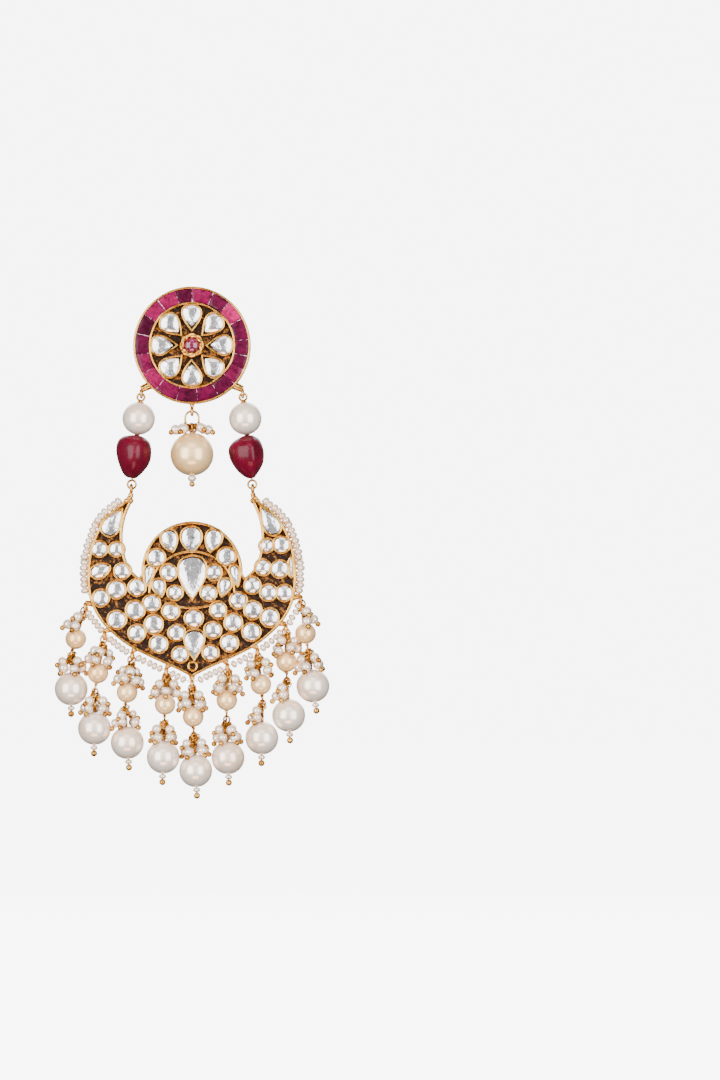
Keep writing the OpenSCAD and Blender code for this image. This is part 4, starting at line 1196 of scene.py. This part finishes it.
class EARRING_OT_fringe(bpy.types.Operator):
    """The strands' wires, tip pearls and clusters, and the finish of their larger pearls"""
    bl_idname = "earring.fringe"
    bl_label = "Fringe"

    def execute(self, context):
        sizes = ready(context)
        rng = random.Random(53)
        upper, lower, thick, thin = [], [], [], []
        tips, gold = bmesh.new(), bmesh.new()
        for i, (side, s, lean, low_lean, up_side, low_side) in enumerate(STRANDS, 1):
            down, low = (Vector((sin(a), 0, -cos(a))) for a in map(radians, (lean, low_lean)))
            eye = hung(*edge_at(side, s, LUG_REACH))
            cap, pearl = box_middle(f"cap_pearl_{i}"), box_middle(f"fringe_pearl_{i}")
            upper.append(cluster_parts(rng, cap, down, CAP_R, up_side, sizes))
            lower.append(cluster_parts(rng, pearl, low, PEARL_R, low_side, sizes))
            joint = cap + (CAP_R + STRING_GAP + WIRE_R + LOOP_R) * down
            loop_end, cap_top, cap_end = eye + 2 * TOP_LOOP * down, cap - CAP_R * down, cap + CAP_R * down
            low_end, pearl_top = joint + 2 * LOOP_R * low, pearl - PEARL_R * low
            thick += [oval(eye + TOP_LOOP * down, down, down.cross(BACK), TOP_LOOP, rng.uniform(0.7, 0.9)),
                      oval(joint, down, BACK, LOOP_R, 0.75),
                      oval(joint + LOOP_R * low, low, low.cross(BACK), LOOP_R, 0.72),
                      [loop_end, cap_end + 0.2 * down], [low_end, pearl + (PEARL_R + 2) * low]]
            thin += tangle(loop_end + 0.4 * down, rng, 8)
            thin += [coil(loop_end - 0.1 * down, cap_top, 0.36, 0.36, rng, 0.15),
                     coil(cap_end, cap_end + 0.5 * down, 0.34, 0.3, rng, 0.1),
                     coil(low_end - 0.1 * low, pearl_top, 0.36, 0.36, rng, 0.15)]
            # A wire's loose end sticks out at some of the joints
            if i % 3 == 2:
                way = Vector((rng.choice((-1, 1)) * 0.8, -0.3, 0.5)).normalized()
                thin.append([cap_end + 0.3 * down, cap_end + 0.3 * down + 1.3 * way])
            ball(tips, pearl + (PEARL_R + TIP_PEARL[0]) * low, TIP_PEARL[1], 14, 10, None, (1, 1, 0.66))
            ball(gold, pearl + (PEARL_R + END_BALL[0]) * low, END_BALL[1], 14, 10)
        wires(gold, thick, STRAND_WIRE_R)
        wires(gold, thin, WINDING_R, 0)
        nine = range(1, len(STRANDS) + 1)
        make_piece("strand_wires", gold, "pendant", "wire", [f"fringe_wire_{i}" for i in nine])
        make_piece("tip_pearls", tips, "pendant", "seed", ("tip_seeds",))
        cluster_pieces("upper_cluster", upper, "pendant", "upper_clusters", rng, sizes)
        cluster_pieces("lower_cluster", lower, "pendant", "lower_clusters", rng, sizes)
        dress("pearl", *(f"fringe_pearl_{i}" for i in nine))
        dress("cream", *(f"cap_pearl_{i}" for i in nine))
        return {"FINISHED"}


class EARRING_PT_panel(bpy.types.Panel):
    """The earring's settings and steps"""
    bl_idname = "EARRING_PT_panel"
    bl_label = "Earring"
    bl_space_type = "VIEW_3D"
    bl_region_type = "UI"
    bl_category = "Earring"

    def draw(self, context):
        for group in (context.scene.earring_colours, context.scene.earring_sizes):
            for key in group.__annotations__:
                self.layout.prop(group, key)
        for step in STEPS:
            self.layout.operator(step.bl_idname)


STEPS = (EARRING_OT_stage, EARRING_OT_stud_metal, EARRING_OT_stud_stones, EARRING_OT_post, EARRING_OT_links,
         EARRING_OT_drop, EARRING_OT_crescent_metal, EARRING_OT_crescent_stones, EARRING_OT_edging,
         EARRING_OT_fringe)
CLASSES = (EarringColours, EarringSizes, *STEPS, EARRING_PT_panel)


def register():
    for cls in CLASSES:
        bpy.utils.register_class(cls)
    bpy.types.Scene.earring_colours = bpy.props.PointerProperty(type=EarringColours)
    bpy.types.Scene.earring_sizes = bpy.props.PointerProperty(type=EarringSizes)


def unregister():
    del bpy.types.Scene.earring_colours
    del bpy.types.Scene.earring_sizes
    for cls in reversed(CLASSES):
        bpy.utils.unregister_class(cls)


def main():
    register()
    for step in STEPS:
        group, name = step.bl_idname.split(".")
        getattr(getattr(bpy.ops, group), name)()


if __name__ == "__main__":
    main()
